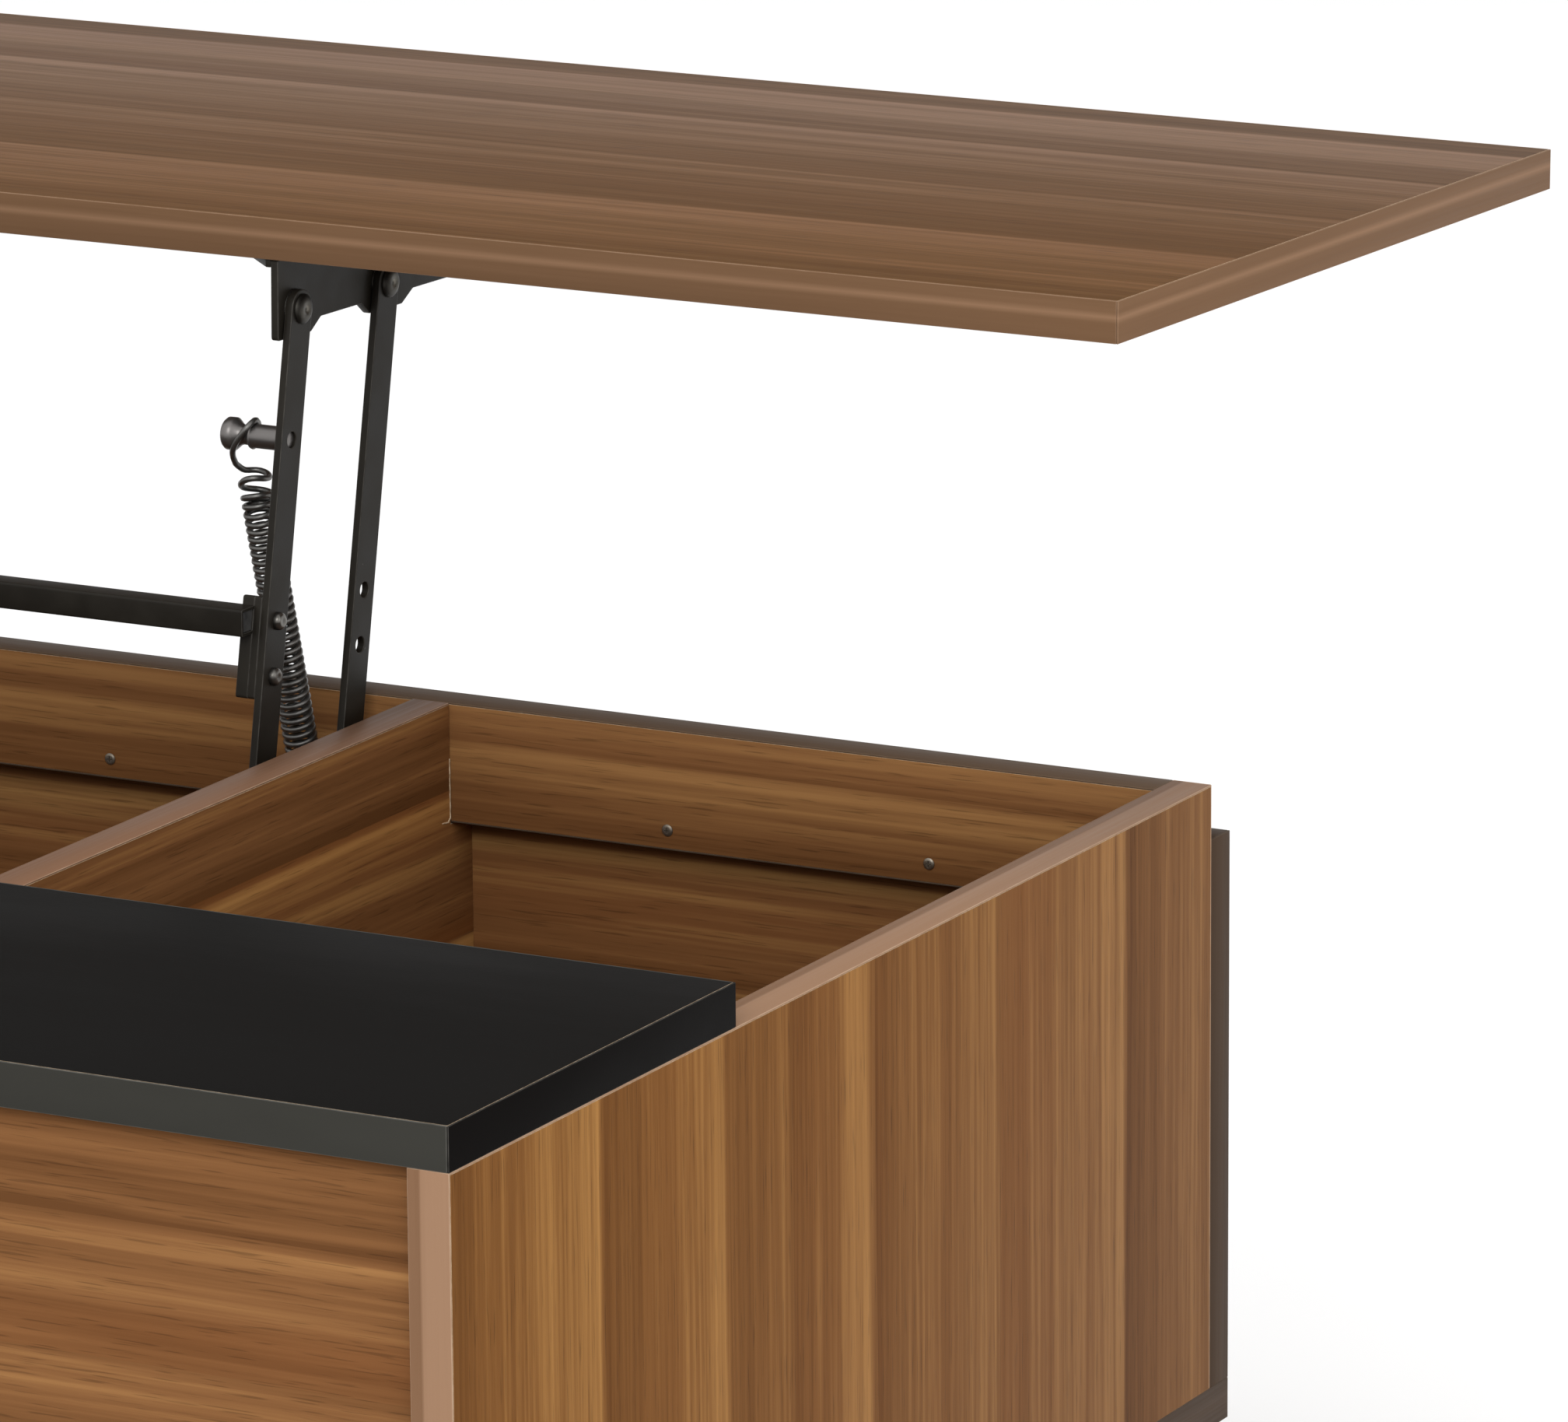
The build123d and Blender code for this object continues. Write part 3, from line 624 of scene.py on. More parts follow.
@dataclass(frozen=True)
class Finish:
    """What every finish has: a name, and a material that is made once."""

    name: str

    def material(self) -> bpy.types.Material:
        """The finish as a material."""
        found = bpy.data.materials.get(self.name)
        if found:
            return found
        made = bpy.data.materials.new(self.name)
        made.use_nodes = True
        made.node_tree.nodes.clear()
        nodes = Nodes(made.node_tree)
        output = nodes.add("ShaderNodeOutputMaterial")
        shader = nodes.add("ShaderNodeBsdfPrincipled")
        nodes.put(output.inputs["Surface"], shader.outputs[0])
        place = nodes.add("ShaderNodeTexCoord").outputs["Object"]
        self.dress(nodes, shader, place)
        return made

    def dress(self, nodes: Nodes, shader: bpy.types.Node, place: bpy.types.NodeSocket) -> None:
        """Sets the shader; each finish has its own way."""
        raise NotImplementedError

    def laid(self, name: str, grain: Grain, low: Vector, high: Vector) -> "Finish":
        """The finish fitted to a board; a plain one stays as it is."""
        return self

    @staticmethod
    def bump(nodes: Nodes, shader: bpy.types.Node, height: object, strength: float, distance: float) -> None:
        """Feeds a height to the shader's normal."""
        inputs = {"Height": height, "Strength": strength, "Distance": distance}
        nodes.put(shader.inputs["Normal"], nodes.add("ShaderNodeBump", inputs).outputs[0])


@dataclass(frozen=True)
class Printed(Finish):
    """A print whose tones run along the grain; each tone is (millimetres from the low edge, level)."""

    tones: tuple[tuple[float, float], ...] = ((0, 0.5), (1, 0.5))
    grain: Grain = Grain.LENGTHWISE
    start: float = 0.0
    span: float = 1.0
    seed: float = 0.0

    def laid(self, name: str, grain: Grain, low: Vector, high: Vector) -> "Printed":
        """The print fitted to a board.

        Args:
            name: Name of the fitted finish.
            grain: Which way the grain runs there.
            low: Lowest corner of the board.
            high: Highest corner of the board.

        Returns:
            The fitted finish.
        """
        axis = "XYZ".index(grain.value[1])
        return replace(self, name=name, grain=grain, start=low[axis], span=high[axis] - low[axis])

    def spread(self, nodes: Nodes, place: bpy.types.NodeSocket) -> tuple:
        """Turns the place along the grain and reads the tones.

        Args:
            nodes: Writer of the material's tree.
            place: The board's own coordinates.

        Returns:
            The turned place, the tone there and the number of its strip.
        """
        axes = dict(zip("XYZ", nodes.split(place)))
        turned = nodes.combine(*(axes[axis] for axis in self.grain.value))
        across = axes[self.grain.value[1]]
        wander = nodes.noise(nodes.vector("MULTIPLY", turned, (2.0, 12.0, 12.0)), 1.0, 1.0)
        shift = nodes.math("MULTIPLY", nodes.math("SUBTRACT", wander, 0.5), 0.02 * self.span)
        across = nodes.math("ADD", across, shift)
        share = nodes.math("DIVIDE", nodes.math("SUBTRACT", across, self.start), self.span)
        stops = [(place_mm * MM / self.span, level) for place_mm, level in self.tones]
        edges = [b[0] for a, b in zip(self.tones, self.tones[1:]) if b[0] - a[0] < 4 and b[1] < a[1]]
        strips = [(0.0, 0.1)] + [(e * MM / self.span, (0.37 * k + 0.5) % 1) for k, e in enumerate(edges)]
        return turned, nodes.profile(share, stops), nodes.profile(share, strips, stepped=True)


def strip_tones(seed: int, width: float, strip: float = 72.0) -> tuple[tuple[float, float], ...]:
    """Makes up the tones of a board: each strip starts dark and grows lighter to a thin pale line.

    Args:
        seed: Picks the tones.
        width: The board's width across its grain, in millimetres.
        strip: Usual width of a strip, in millimetres.

    Returns:
        The tones.
    """
    chance = random.Random(seed)
    tones, place = [(0.0, 0.4)], 0.0
    while place < width and len(tones) < 28:
        low, high = chance.uniform(0.12, 0.45), chance.uniform(0.5, 0.85)
        reach = strip * chance.uniform(0.6, 1.35)
        tones += [(place + 2.5, low), (place + 0.45 * reach, (low + high) / 2), (place + reach - 4, high)]
        tones.append((place + reach - 1, min(1.0, high + 0.15)))
        place += reach
    return tuple(tone for tone in tones if tone[0] <= width)


@dataclass(frozen=True)
class WalnutPrint(Printed):
    """Satin laminate printed with strips of walnut."""

    figure: float = 0.08
    light: Colour = (0.345, 0.172, 0.062)
    middle: Colour = (0.196, 0.086, 0.031)
    dark: Colour = (0.115, 0.047, 0.0155)
    red: Colour = (0.200, 0.070, 0.022)
    worn: Colour = (0.50, 0.34, 0.21)
    wear: float = 0.5
    roughness: float = 0.46
    gloss: float = 0.045

    def dress(self, nodes: Nodes, shader: bpy.types.Node, place: bpy.types.NodeSocket) -> None:
        """Prints the strips along the board's grain."""
        turned, tone, strip = self.spread(nodes, place)
        print_out = Effect.STRIP_GRAIN.place(
            nodes,
            Vector=turned,
            Tone=tone,
            Strip=strip,
            Seed=self.seed,
            Figure=self.figure,
            Light=self.light,
            Middle=self.middle,
            Dark=self.dark,
            Red=self.red,
        )
        worn = Effect.EDGE_WEAR.place(nodes, Vector=place, Amount=self.wear, Patch_Size=11 * MM)["Mask"]
        dust = Effect.SPECKS.place(nodes, Vector=place, Spacing=70 * MM, Size=0.5 * MM)["Mask"]
        marks = nodes.math("MAXIMUM", worn, nodes.math("MULTIPLY", dust, 0.6))
        nodes.put(shader.inputs["Base Color"], nodes.mix(marks, print_out["Colour"], self.worn))
        rough = nodes.ramp(print_out["Grain"], 0.0, 1.0, self.roughness + 0.08, self.roughness - 0.04)
        nodes.put(shader.inputs["Roughness"], rough)
        shader.inputs["Specular IOR Level"].default_value = self.gloss
        self.bump(nodes, shader, print_out["Height"], 0.25, 0.08 * MM)


@dataclass(frozen=True)
class EdgeBand(Printed):
    """Thin plastic band on a board's edge, printed in long tones."""

    light: Colour = (0.300, 0.176, 0.106)
    dark: Colour = (0.185, 0.098, 0.052)
    worn: Colour = (0.56, 0.42, 0.30)
    wear: float = 0.6
    gloss: float = 0.045

    def dress(self, nodes: Nodes, shader: bpy.types.Node, place: bpy.types.NodeSocket) -> None:
        """Runs the tones and a fine streak along the band."""
        turned, tone, _ = self.spread(nodes, place)
        seeded = nodes.vector("ADD", turned, (self.seed, 0.0, 0.0))
        soft = nodes.noise(nodes.vector("MULTIPLY", seeded, (3.0, 160.0, 160.0)), 1.0, 2.0)
        fine = nodes.noise(nodes.vector("MULTIPLY", seeded, (18.0, 900.0, 900.0)), 1.0, 3.0)
        value = tone
        for part, weight in ((soft, 0.35), (fine, 0.2)):
            change = nodes.math("MULTIPLY", nodes.math("SUBTRACT", part, 0.5), weight)
            value = nodes.math("ADD", value, change)
        colour = nodes.mix(nodes.math("ADD", value, 0.0, clamp=True), self.dark, self.light)
        worn = Effect.EDGE_WEAR.place(nodes, Vector=place, Amount=self.wear, Patch_Size=8 * MM)["Mask"]
        nodes.put(shader.inputs["Base Color"], nodes.mix(worn, colour, self.worn))
        nodes.put(shader.inputs["Roughness"], nodes.ramp(fine, 0.2, 0.8, 0.42, 0.54))
        shader.inputs["Specular IOR Level"].default_value = self.gloss
        self.bump(nodes, shader, fine, 0.15, 0.1 * MM)


@dataclass(frozen=True)
class BlackLaminate(Finish):
    """Near black satin laminate with a faint tooth, dust specks and pale worn edges."""

    colour: Colour = (0.0092, 0.0085, 0.0078)
    second: Colour = (0.0125, 0.0115, 0.0105)
    worn: Colour = (0.10, 0.098, 0.09)
    wear: float = 0.5

    def dress(self, nodes: Nodes, shader: bpy.types.Node, place: bpy.types.NodeSocket) -> None:
        """Mixes the blacks, the dust and the edge wear."""
        stretched = nodes.vector("MULTIPLY", place, (0.25, 1.0, 1.0))
        mottle = Effect.MOTTLE.place(nodes, Vector=stretched, Patch_Size=40 * MM, Tooth_Size=0.9 * MM)
        worn = Effect.EDGE_WEAR.place(nodes, Vector=place, Amount=self.wear, Patch_Size=7 * MM)["Mask"]
        dust = Effect.SPECKS.place(nodes, Vector=place, Spacing=26 * MM, Size=0.45 * MM)["Mask"]
        marks = nodes.math("MAXIMUM", worn, nodes.math("MULTIPLY", dust, 0.8))
        base = nodes.mix(nodes.ramp(mottle["Patches"], 0.3, 0.7), self.colour, self.second)
        nodes.put(shader.inputs["Base Color"], nodes.mix(marks, base, self.worn))
        nodes.put(shader.inputs["Roughness"], nodes.ramp(mottle["Patches"], 0.3, 0.7, 0.5, 0.58))
        shader.inputs["Specular IOR Level"].default_value = 0.02
        self.bump(nodes, shader, mottle["Tooth"], 0.3, 0.06 * MM)


@dataclass(frozen=True)
class PaintedSteel(Finish):
    """Satin black paint on steel, rubbed bright where it is handled."""

    colour: Colour = (0.0155, 0.0132, 0.0103)
    second: Colour = (0.0215, 0.0185, 0.0143)
    bare: Colour = (0.22, 0.21, 0.19)
    wear: float = 0.35
    roughness: float = 0.42

    def dress(self, nodes: Nodes, shader: bpy.types.Node, place: bpy.types.NodeSocket) -> None:
        """Mixes paint and bare steel."""
        mottle = Effect.MOTTLE.place(nodes, Vector=place, Patch_Size=18 * MM, Tooth_Size=0.7 * MM)
        worn = Effect.EDGE_WEAR.place(nodes, Vector=place, Amount=self.wear, Patch_Size=4 * MM)["Mask"]
        chips = Effect.SPECKS.place(nodes, Vector=place, Spacing=14 * MM, Size=0.35 * MM)["Mask"]
        bare = nodes.math("MAXIMUM", worn, nodes.math("MULTIPLY", chips, 0.5))
        paint = nodes.mix(nodes.ramp(mottle["Patches"], 0.3, 0.7), self.colour, self.second)
        nodes.put(shader.inputs["Base Color"], nodes.mix(bare, paint, self.bare))
        nodes.put(shader.inputs["Metallic"], nodes.math("MULTIPLY", bare, 0.8))
        rough = nodes.ramp(mottle["Patches"], 0.3, 0.7, self.roughness - 0.05, self.roughness + 0.07)
        nodes.put(shader.inputs["Roughness"], rough)
        shader.inputs["Specular IOR Level"].default_value = 0.12
        self.bump(nodes, shader, mottle["Tooth"], 0.35, 0.05 * MM)


@dataclass(frozen=True)
class OiledSteel(Finish):
    """Bare or plated steel with a film of oil, darker in patches."""

    colour: Colour = (0.075, 0.07, 0.062)
    second: Colour = (0.03, 0.027, 0.024)
    bright: Colour = (0.42, 0.40, 0.37)
    wear: float = 0.45
    roughness: float = 0.3

    def dress(self, nodes: Nodes, shader: bpy.types.Node, place: bpy.types.NodeSocket) -> None:
        """Mixes dark film and bright rubbed metal."""
        mottle = Effect.MOTTLE.place(nodes, Vector=place, Patch_Size=5 * MM, Tooth_Size=0.4 * MM)
        worn = Effect.EDGE_WEAR.place(nodes, Vector=place, Amount=self.wear, Patch_Size=2.5 * MM)["Mask"]
        film = nodes.mix(nodes.ramp(mottle["Patches"], 0.35, 0.65), self.colour, self.second)
        nodes.put(shader.inputs["Base Color"], nodes.mix(worn, film, self.bright))
        shader.inputs["Metallic"].default_value = 0.9
        rough = nodes.ramp(mottle["Patches"], 0.3, 0.7, self.roughness, self.roughness + 0.14)
        nodes.put(shader.inputs["Roughness"], rough)
        self.bump(nodes, shader, mottle["Tooth"], 0.2, 0.03 * MM)


@dataclass(frozen=True)
class RawBoard(Finish):
    """Pale pressed chips of an uncovered board edge, or bare dowel wood."""

    light: Colour = (0.60, 0.46, 0.31)
    dark: Colour = (0.38, 0.26, 0.15)
    chip: float = 1.8 * MM

    def dress(self, nodes: Nodes, shader: bpy.types.Node, place: bpy.types.NodeSocket) -> None:
        """Mixes pale and dark chips."""
        mottle = Effect.MOTTLE.place(nodes, Vector=place, Patch_Size=self.chip, Tooth_Size=0.4 * MM)
        colour = nodes.mix(nodes.ramp(mottle["Patches"], 0.35, 0.65), self.dark, self.light)
        nodes.put(shader.inputs["Base Color"], colour)
        nodes.put(shader.inputs["Roughness"], nodes.ramp(mottle["Tooth"], 0.2, 0.8, 0.8, 0.95))
        self.bump(nodes, shader, mottle["Patches"], 0.6, 0.2 * MM)


@dataclass(frozen=True)
class MouldedPlastic(Finish):
    """Matte black moulded plastic."""

    colour: Colour = (0.02, 0.02, 0.021)
    scuffed: Colour = (0.055, 0.054, 0.052)

    def dress(self, nodes: Nodes, shader: bpy.types.Node, place: bpy.types.NodeSocket) -> None:
        """Mixes clean and scuffed plastic with a fine tooth."""
        mottle = Effect.MOTTLE.place(nodes, Vector=place, Patch_Size=6 * MM, Tooth_Size=0.5 * MM)
        colour = nodes.mix(nodes.ramp(mottle["Patches"], 0.4, 0.7), self.colour, self.scuffed)
        nodes.put(shader.inputs["Base Color"], colour)
        nodes.put(shader.inputs["Roughness"], nodes.ramp(mottle["Patches"], 0.3, 0.7, 0.5, 0.66))
        self.bump(nodes, shader, mottle["Tooth"], 0.4, 0.06 * MM)


@dataclass(frozen=True)
class PaleFloor(Finish):
    """Plain pale studio floor."""

    colour: Colour = (0.94, 0.94, 0.94)
    second: Colour = (0.96, 0.96, 0.96)

    def dress(self, nodes: Nodes, shader: bpy.types.Node, place: bpy.types.NodeSocket) -> None:
        """Varies the white a little."""
        mottle = Effect.MOTTLE.place(nodes, Vector=place, Patch_Size=0.5, Tooth_Size=5 * MM)
        nodes.put(shader.inputs["Base Color"], nodes.mix(mottle["Patches"], self.colour, self.second))
        nodes.put(shader.inputs["Roughness"], nodes.ramp(mottle["Patches"], 0.2, 0.8, 0.8, 0.9))


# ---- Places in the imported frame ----
def side_plane(x: float) -> Matrix:
    """Puts a flat outline of (Y, Z) points upright across the table, with its thickness from x towards +X."""
    return Matrix(((0, 0, 1, x), (1, 0, 0, 0), (0, 1, 0, 0), (0, 0, 0, 1)))


def pin_place(way: int, x: float, y: float, z: float) -> Matrix:
    """Puts a turned piece's axis along X, pointing the way given by a sign."""
    if way > 0:
        return side_plane(x) @ Matrix.Translation((y, z, 0))
    return Matrix(((0, 0, -1, x), (0, 1, 0, y), (1, 0, 0, z), (0, 0, 0, 1)))


@dataclass(frozen=True)
class Plan:
    """Places and slots read from the frame, in metres."""

    pivots: dict[str, Vector]
    slots: dict[str, str]
    lid: Matrix
    tilt: float

    @classmethod
    def read(cls, packed: dict) -> "Plan":
        """Reads the plan.

        Args:
            packed: What the frame's loading gave.

        Returns:
            The plan.
        """
        record = packed["record"]
        pivots = {j["name"]: Vector(j["pos_m"]) for j in packed["joints"] if j["type"] == "hinge"}
        slots = {row["node"]: row["material_slot"] for row in record["subparts"]}
        up = next(m["axis"] for m in record["mounts"] if m["name"] == "lift_top_face")
        tilt = math.atan2(up[1], up[2])
        lid = Matrix.Translation(pivots["top_tilt"]) @ Matrix.Rotation(-tilt, 4, "X")
        return cls(pivots, slots, lid, tilt)

    def settle(self, piece: bpy.types.Object, body: str, *nodes: str) -> bpy.types.Object:
        """Lets a piece ride on a body and stand for CAD nodes.

        Args:
            piece: The finished piece.
            body: The body that it moves with.
            nodes: The nodes that it stands for.

        Returns:
            The piece.
        """
        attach(piece, body)
        if nodes:
            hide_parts(*nodes)
        log.info("%s rides on %s", piece.name, body)
        return piece


# ---- Screws and rivets ----
def screw_rings(radius: float, height: float, shank: float, length: float) -> list[Ring]:
    """Rings of a pan head screw with a cross recess.

    Args:
        radius: Radius of the head.
        height: Height of the head.
        shank: Radius of the shank.
        length: Length of the shank below the head.

    Returns:
        The rings, from the shank's point to the recess.
    """
    return [
        Ring(-length, 0),
        Ring(-length + 2 * shank, shank),
        Ring(0, shank),
        Ring(0, radius * 0.97),
        Ring(height * 0.45, radius, 0.4),
        Ring(height * 0.85, radius * 0.82, 0.8),
        Ring(height, radius * 0.56, 0.5),
        Ring(height, radius * 0.5, 1.0, Section.CROSS),
        Ring(height * 0.35, radius * 0.42, 0.0, Section.CROSS),
        Ring(height * 0.35, 0),
    ]


def rivet_rings(radius: float, height: float, shank: float, length: float) -> list[Ring]:
    """Rings of a domed rivet with a dimpled centre that is painted bright as a highlight.

    Args:
        radius: Radius of the head.
        height: Height of the head.
        shank: Radius of the shank.
        length: Length of the shank below the head.

    Returns:
        The rings, from the shank's tail to the dimple.
    """
    return [
        Ring(-length - 1.5 * MM, 0),
        Ring(-length - 1.5 * MM, shank + 1.1 * MM, 0.6),
        Ring(-length - 1.0 * MM, shank + 1.5 * MM, 1.0),
        Ring(-length, shank + 1.5 * MM),
        Ring(-length, shank),
        Ring(0, shank),
        Ring(0, radius),
        Ring(height * 0.3, radius, 0.1),
        Ring(height * 0.7, radius * 0.86),
        Ring(height, radius * 0.6, 0.2),
        Ring(height, radius * 0.3, 0.4),
        # Full wear at the dimple paints the head's centre bright: a painted highlight.
        Ring(height * 0.75, radius * 0.2, 1.0),
        Ring(height * 0.75, 0),
    ]


# ---- Boards ----
@dataclass(frozen=True)
class Board:
    """A laminated board with bands on its visible edges."""

    node: str
    body: str
    face: Finish
    grain: Grain
    bands: dict[Edge, Finish]
    thin: int
    band_thickness: float = 0.7 * MM
    arris: float = 0.4 * MM

    def band_grain(self, edge: Edge) -> Grain:
        """Grain of a band: along the edge, then across the board's thickness."""
        axis = edge.value[0]
        return Grain("XYZ"[3 - axis - self.thin] + "XYZ"[self.thin] + "XYZ"[axis])

    def make(
        self, name: str, low: Vector, high: Vector, raw: Finish, place: Matrix | None = None
    ) -> bpy.types.Object:
        """Makes the board between two corners.

        Args:
            name: Name of the piece.
            low: Lowest corner.
            high: Highest corner.
            raw: Finish of the edges without a band.
            place: Where the board's own frame stands.

        Returns:
            The piece: slot 0 for its faces, 1 for raw edges, then one for each band.
        """
        shape, core_low, core_high = Shape(), low.copy(), high.copy()
        finishes = [self.face.laid(f"{self.face.name}_{self.node}", self.grain, low, high), raw]
        for edge, band in self.bands.items():
            axis, end = edge.value
            strip_low, strip_high = core_low.copy(), core_high.copy()
            if end:
                core_high[axis] -= self.band_thickness
                strip_low[axis] = core_high[axis]
            else:
                core_low[axis] += self.band_thickness
                strip_high[axis] = core_low[axis]
            shape.block(strip_low, strip_high, self.arris * 0.8, slot=len(finishes))
            laid_name = f"{band.name}_{self.node}_{edge.name.lower()}"
            finishes.append(band.laid(laid_name, self.band_grain(edge), low, high))
        shape.block(core_low, core_high, self.arris * 0.5, slot=0, end_slot=1, thin=self.thin)
        return shape.piece(name, finishes, place)

    def build(self, plan: Plan, raw: Finish) -> bpy.types.Object:
        """Makes the board where its node is."""
        made = self.make(f"finished_{self.node}", *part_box(self.node), raw)
        return plan.settle(made, self.body, self.node)


@dataclass
class Carcass:
    """The fixed boards with their dowels and screws."""

    plan: Plan
    raw: RawBoard = RawBoard("raw_board")
    rim_band: EdgeBand = EdgeBand("rim_band", tones=((0, 0.1), (4, 0.1), (5, 0.9), (15, 0.9)))
    inner_rim_band: EdgeBand = EdgeBand("inner_rim_band", tones=((0, 0.9), (10, 0.9), (11, 0.1), (15, 0.1)))
    divider_band: EdgeBand = EdgeBand(
        "divider_band", tones=((0, 0.2), (15, 0.9)), light=(0.22, 0.115, 0.065), dark=(0.145, 0.078, 0.046)
    )
    rail_band: EdgeBand = EdgeBand(
        "rail_band",
        tones=((0, 0.7), (15, 0.4)),
        light=(0.125, 0.08, 0.05),
        dark=(0.095, 0.062, 0.04),
        worn=(0.16, 0.11, 0.075),
    )
    dark_band: EdgeBand = EdgeBand(
        "dark_band",
        tones=((0, 0.4), (8, 0.7), (15, 0.4)),
        light=(0.07, 0.042, 0.025),
        dark=(0.04, 0.025, 0.016),
        worn=(0.12, 0.09, 0.065),
    )
    black_band: BlackLaminate = BlackLaminate(
        "black_band",
        colour=(0.031, 0.030, 0.026),
        second=(0.038, 0.037, 0.032),
        worn=(0.16, 0.155, 0.14),
        wear=0.7,
    )
    black_end_band: BlackLaminate = BlackLaminate(
        "black_end_band",
        colour=(0.003, 0.0023, 0.002),
        second=(0.004, 0.0033, 0.003),
        worn=(0.10, 0.095, 0.085),
        wear=0.7,
    )
    band_thickness: float = 0.7 * MM
    notch_gap: float = 0.5 * MM
    rail_head: tuple[float, float] = (2.2 * MM, 0.8 * MM)
    carcass_head: tuple[float, float] = (5.0 * MM, 0.6 * MM)

    def boards(self) -> list[Board]:
        """Every fixed board but the dividers."""
        upright, level = Grain.LENGTHWISE_UPRIGHT, Grain.LENGTHWISE
        rows = []
        for word, way in SIDES:
            band = self.rim_band if way > 0 else self.inner_rim_band
            bands = {Edge.BACK: band, Edge.FRONT: band, Edge.OVER: band}
            walnut = WalnutPrint(
                "side_walnut",
                tones=strip_tones(17 if way > 0 else 31, 535.0),
                seed=3.0 + way,
                figure=0.03,
                light=(0.335, 0.163, 0.047),
                middle=(0.174, 0.072, 0.018),
                dark=(0.094, 0.034, 0.007),
                red=(0.180, 0.058, 0.011),
            )
            rows.append(Board(f"side_panel_{word}", "root", walnut, Grain.UPRIGHT, bands, 0))
        back = WalnutPrint("back_walnut", tones=strip_tones(23, 217.0, 48.0), seed=9.0, figure=0.2)
        rail = WalnutPrint("rail_walnut", tones=strip_tones(5, 45.0, 24.0), seed=4.0, figure=0.1)
        front = WalnutPrint(
            "front_walnut", tones=strip_tones(8, 202.0, 48.0), seed=6.5, figure=0.14, light=(0.40, 0.215, 0.075)
        )
        under = WalnutPrint("floor_walnut", tones=strip_tones(12, 550.0), seed=12.0, figure=0.1)
        dark = self.dark_band
        ends = {Edge.LEFT: dark, Edge.RIGHT: dark}
        rows.append(Board("back_panel", "root", back, upright, {Edge.OVER: self.rail_band}, 1))
        # The dark band on the rail's underside is painted shade: it draws the shadow line in the gap under the
        # rail.
        rail_bands_and_shade = {Edge.OVER: self.rail_band, Edge.UNDER: dark}
        rows.append(Board("front_rail", "root", rail, upright, rail_bands_and_shade, 1))
        rows.append(Board("front_panel", "root", front, upright, {**ends, Edge.OVER: dark}, 1))
        all_round = {**ends, Edge.BACK: dark, Edge.FRONT: dark}
        rows.append(Board("bottom_board", "root", under, level, all_round, 2))
        black_ends = {Edge.LEFT: self.black_end_band, Edge.RIGHT: self.black_end_band}
        bands = {**black_ends, Edge.BACK: self.black_band, Edge.FRONT: self.black_band}
        black = BlackLaminate("black_top", colour=(0.0045, 0.004, 0.0035), second=(0.006, 0.0053, 0.0047))
        rows.append(Board("fixed_top", "root", black, level, bands, 2))
        return rows

    def divider(self, word: str, seed: float) -> bpy.types.Object:
        """Makes a divider, notched round the front rail.

        Args:
            word: Right or left.
            seed: Picks its grain.

        Returns:
            The divider.
        """
        node = f"divider_{word}"
        low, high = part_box(node)
        rail_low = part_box("front_rail")[0]
        top = high.z - self.band_thickness
        notch_y, notch_z = rail_low.y - self.notch_gap, rail_low.z - self.notch_gap
        line = [(low.y, low.z), (high.y, low.z), (high.y, notch_z)]
        line += [(notch_y, notch_z), (notch_y, top), (low.y, top)]
        shape = Shape()
        shape.plate(line, (), high.x - low.x, side_plane(low.x), arris=0.25 * MM)
        for face in shape.mesh.faces:
            face.normal_update()
            if abs(face.normal.x) < 0.5:
                face.material_index = 1
        band_low, band_high = Vector((low.x, low.y, top)), Vector((high.x, notch_y, high.z))
        shape.block(band_low, band_high, 0.3 * MM, slot=2)
        for x, way in ((high.x, 1), (low.x, -1)):
            chips = [(notch_y - 0.3 * MM, z * MM, 0.3 + 0.25 * math.sin(2.1 * z)) for z in range(362, 386, 2)]
            chips = [(notch_y - 6 * MM, 0.361, 0.2), (notch_y - 2 * MM, 0.3605, 0.45), *chips]
            path = [Vector((x + way * (size - 0.35) * 0.3 * MM, y, z)) for y, z, size in chips]
            shape.wire(path, 0.32 * MM, sides=6, slot=1)
        walnut = WalnutPrint(
            "divider_walnut",
            tones=strip_tones(14, 222.0, 48.0),
            seed=seed,
            figure=0.22,
            light=(0.44, 0.23, 0.075),
            red=(0.27, 0.085, 0.018),
        )
        finishes = (
            walnut.laid(f"divider_walnut_{word}", Grain.CROSSWISE, low, high),
            self.raw,
            self.divider_band.laid(f"divider_band_{word}", Grain.CROSSWISE_FLAT, low, high),
        )
        return self.plan.settle(shape.piece(f"finished_{node}", finishes), "root", node)

    def screws(self) -> None:
        """Makes the screws in the rail and under the bottom board."""
        zinc = OiledSteel("zinc_plate", colour=(0.2, 0.16, 0.11), second=(0.13, 0.10, 0.07), roughness=0.4)
        black = OiledSteel("black_oxide", bright=(0.3, 0.29, 0.28))
        low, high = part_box("rail_screws")
        rail = Shape()
        radius, height = self.rail_head
        face_y, middle_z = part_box("front_rail")[0].y, (low.z + high.z) / 2
        reach = high.x - radius
        toward_back = Matrix(((1, 0, 0, 0), (0, 0, -1, 0), (0, 1, 0, 0), (0, 0, 0, 1)))
        for x in (reach, 340 * MM, 104 * MM):
            for sign in (1, -1):
                place = Matrix.Translation((sign * x, face_y, middle_z)) @ toward_back
                rail.turned(screw_rings(radius, height, 1.5 * MM, high.y - face_y), place)
        self.plan.settle(rail.piece("finished_rail_screws", (zinc,)), "root", "rail_screws")
        low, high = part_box("carcass_screws")
        under = Shape()
        radius, height = self.carcass_head
        divider_low, divider_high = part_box("divider_right")
        lines_x = (high.x - radius, (divider_low.x + divider_high.x) / 2)
        lines_y = (low.y + radius, (low.y + high.y) / 2, high.y - radius)
        for x in (*lines_x, *(-x for x in lines_x)):
            for y in lines_y:
                place = Matrix.Translation((x, y, low.z)) @ Matrix.Rotation(math.pi, 4, "X")
                under.turned(screw_rings(radius, height, 2.5 * MM, high.z - low.z), place, steps=48)
        self.plan.settle(under.piece("finished_carcass_screws", (black,)), "root", "carcass_screws")

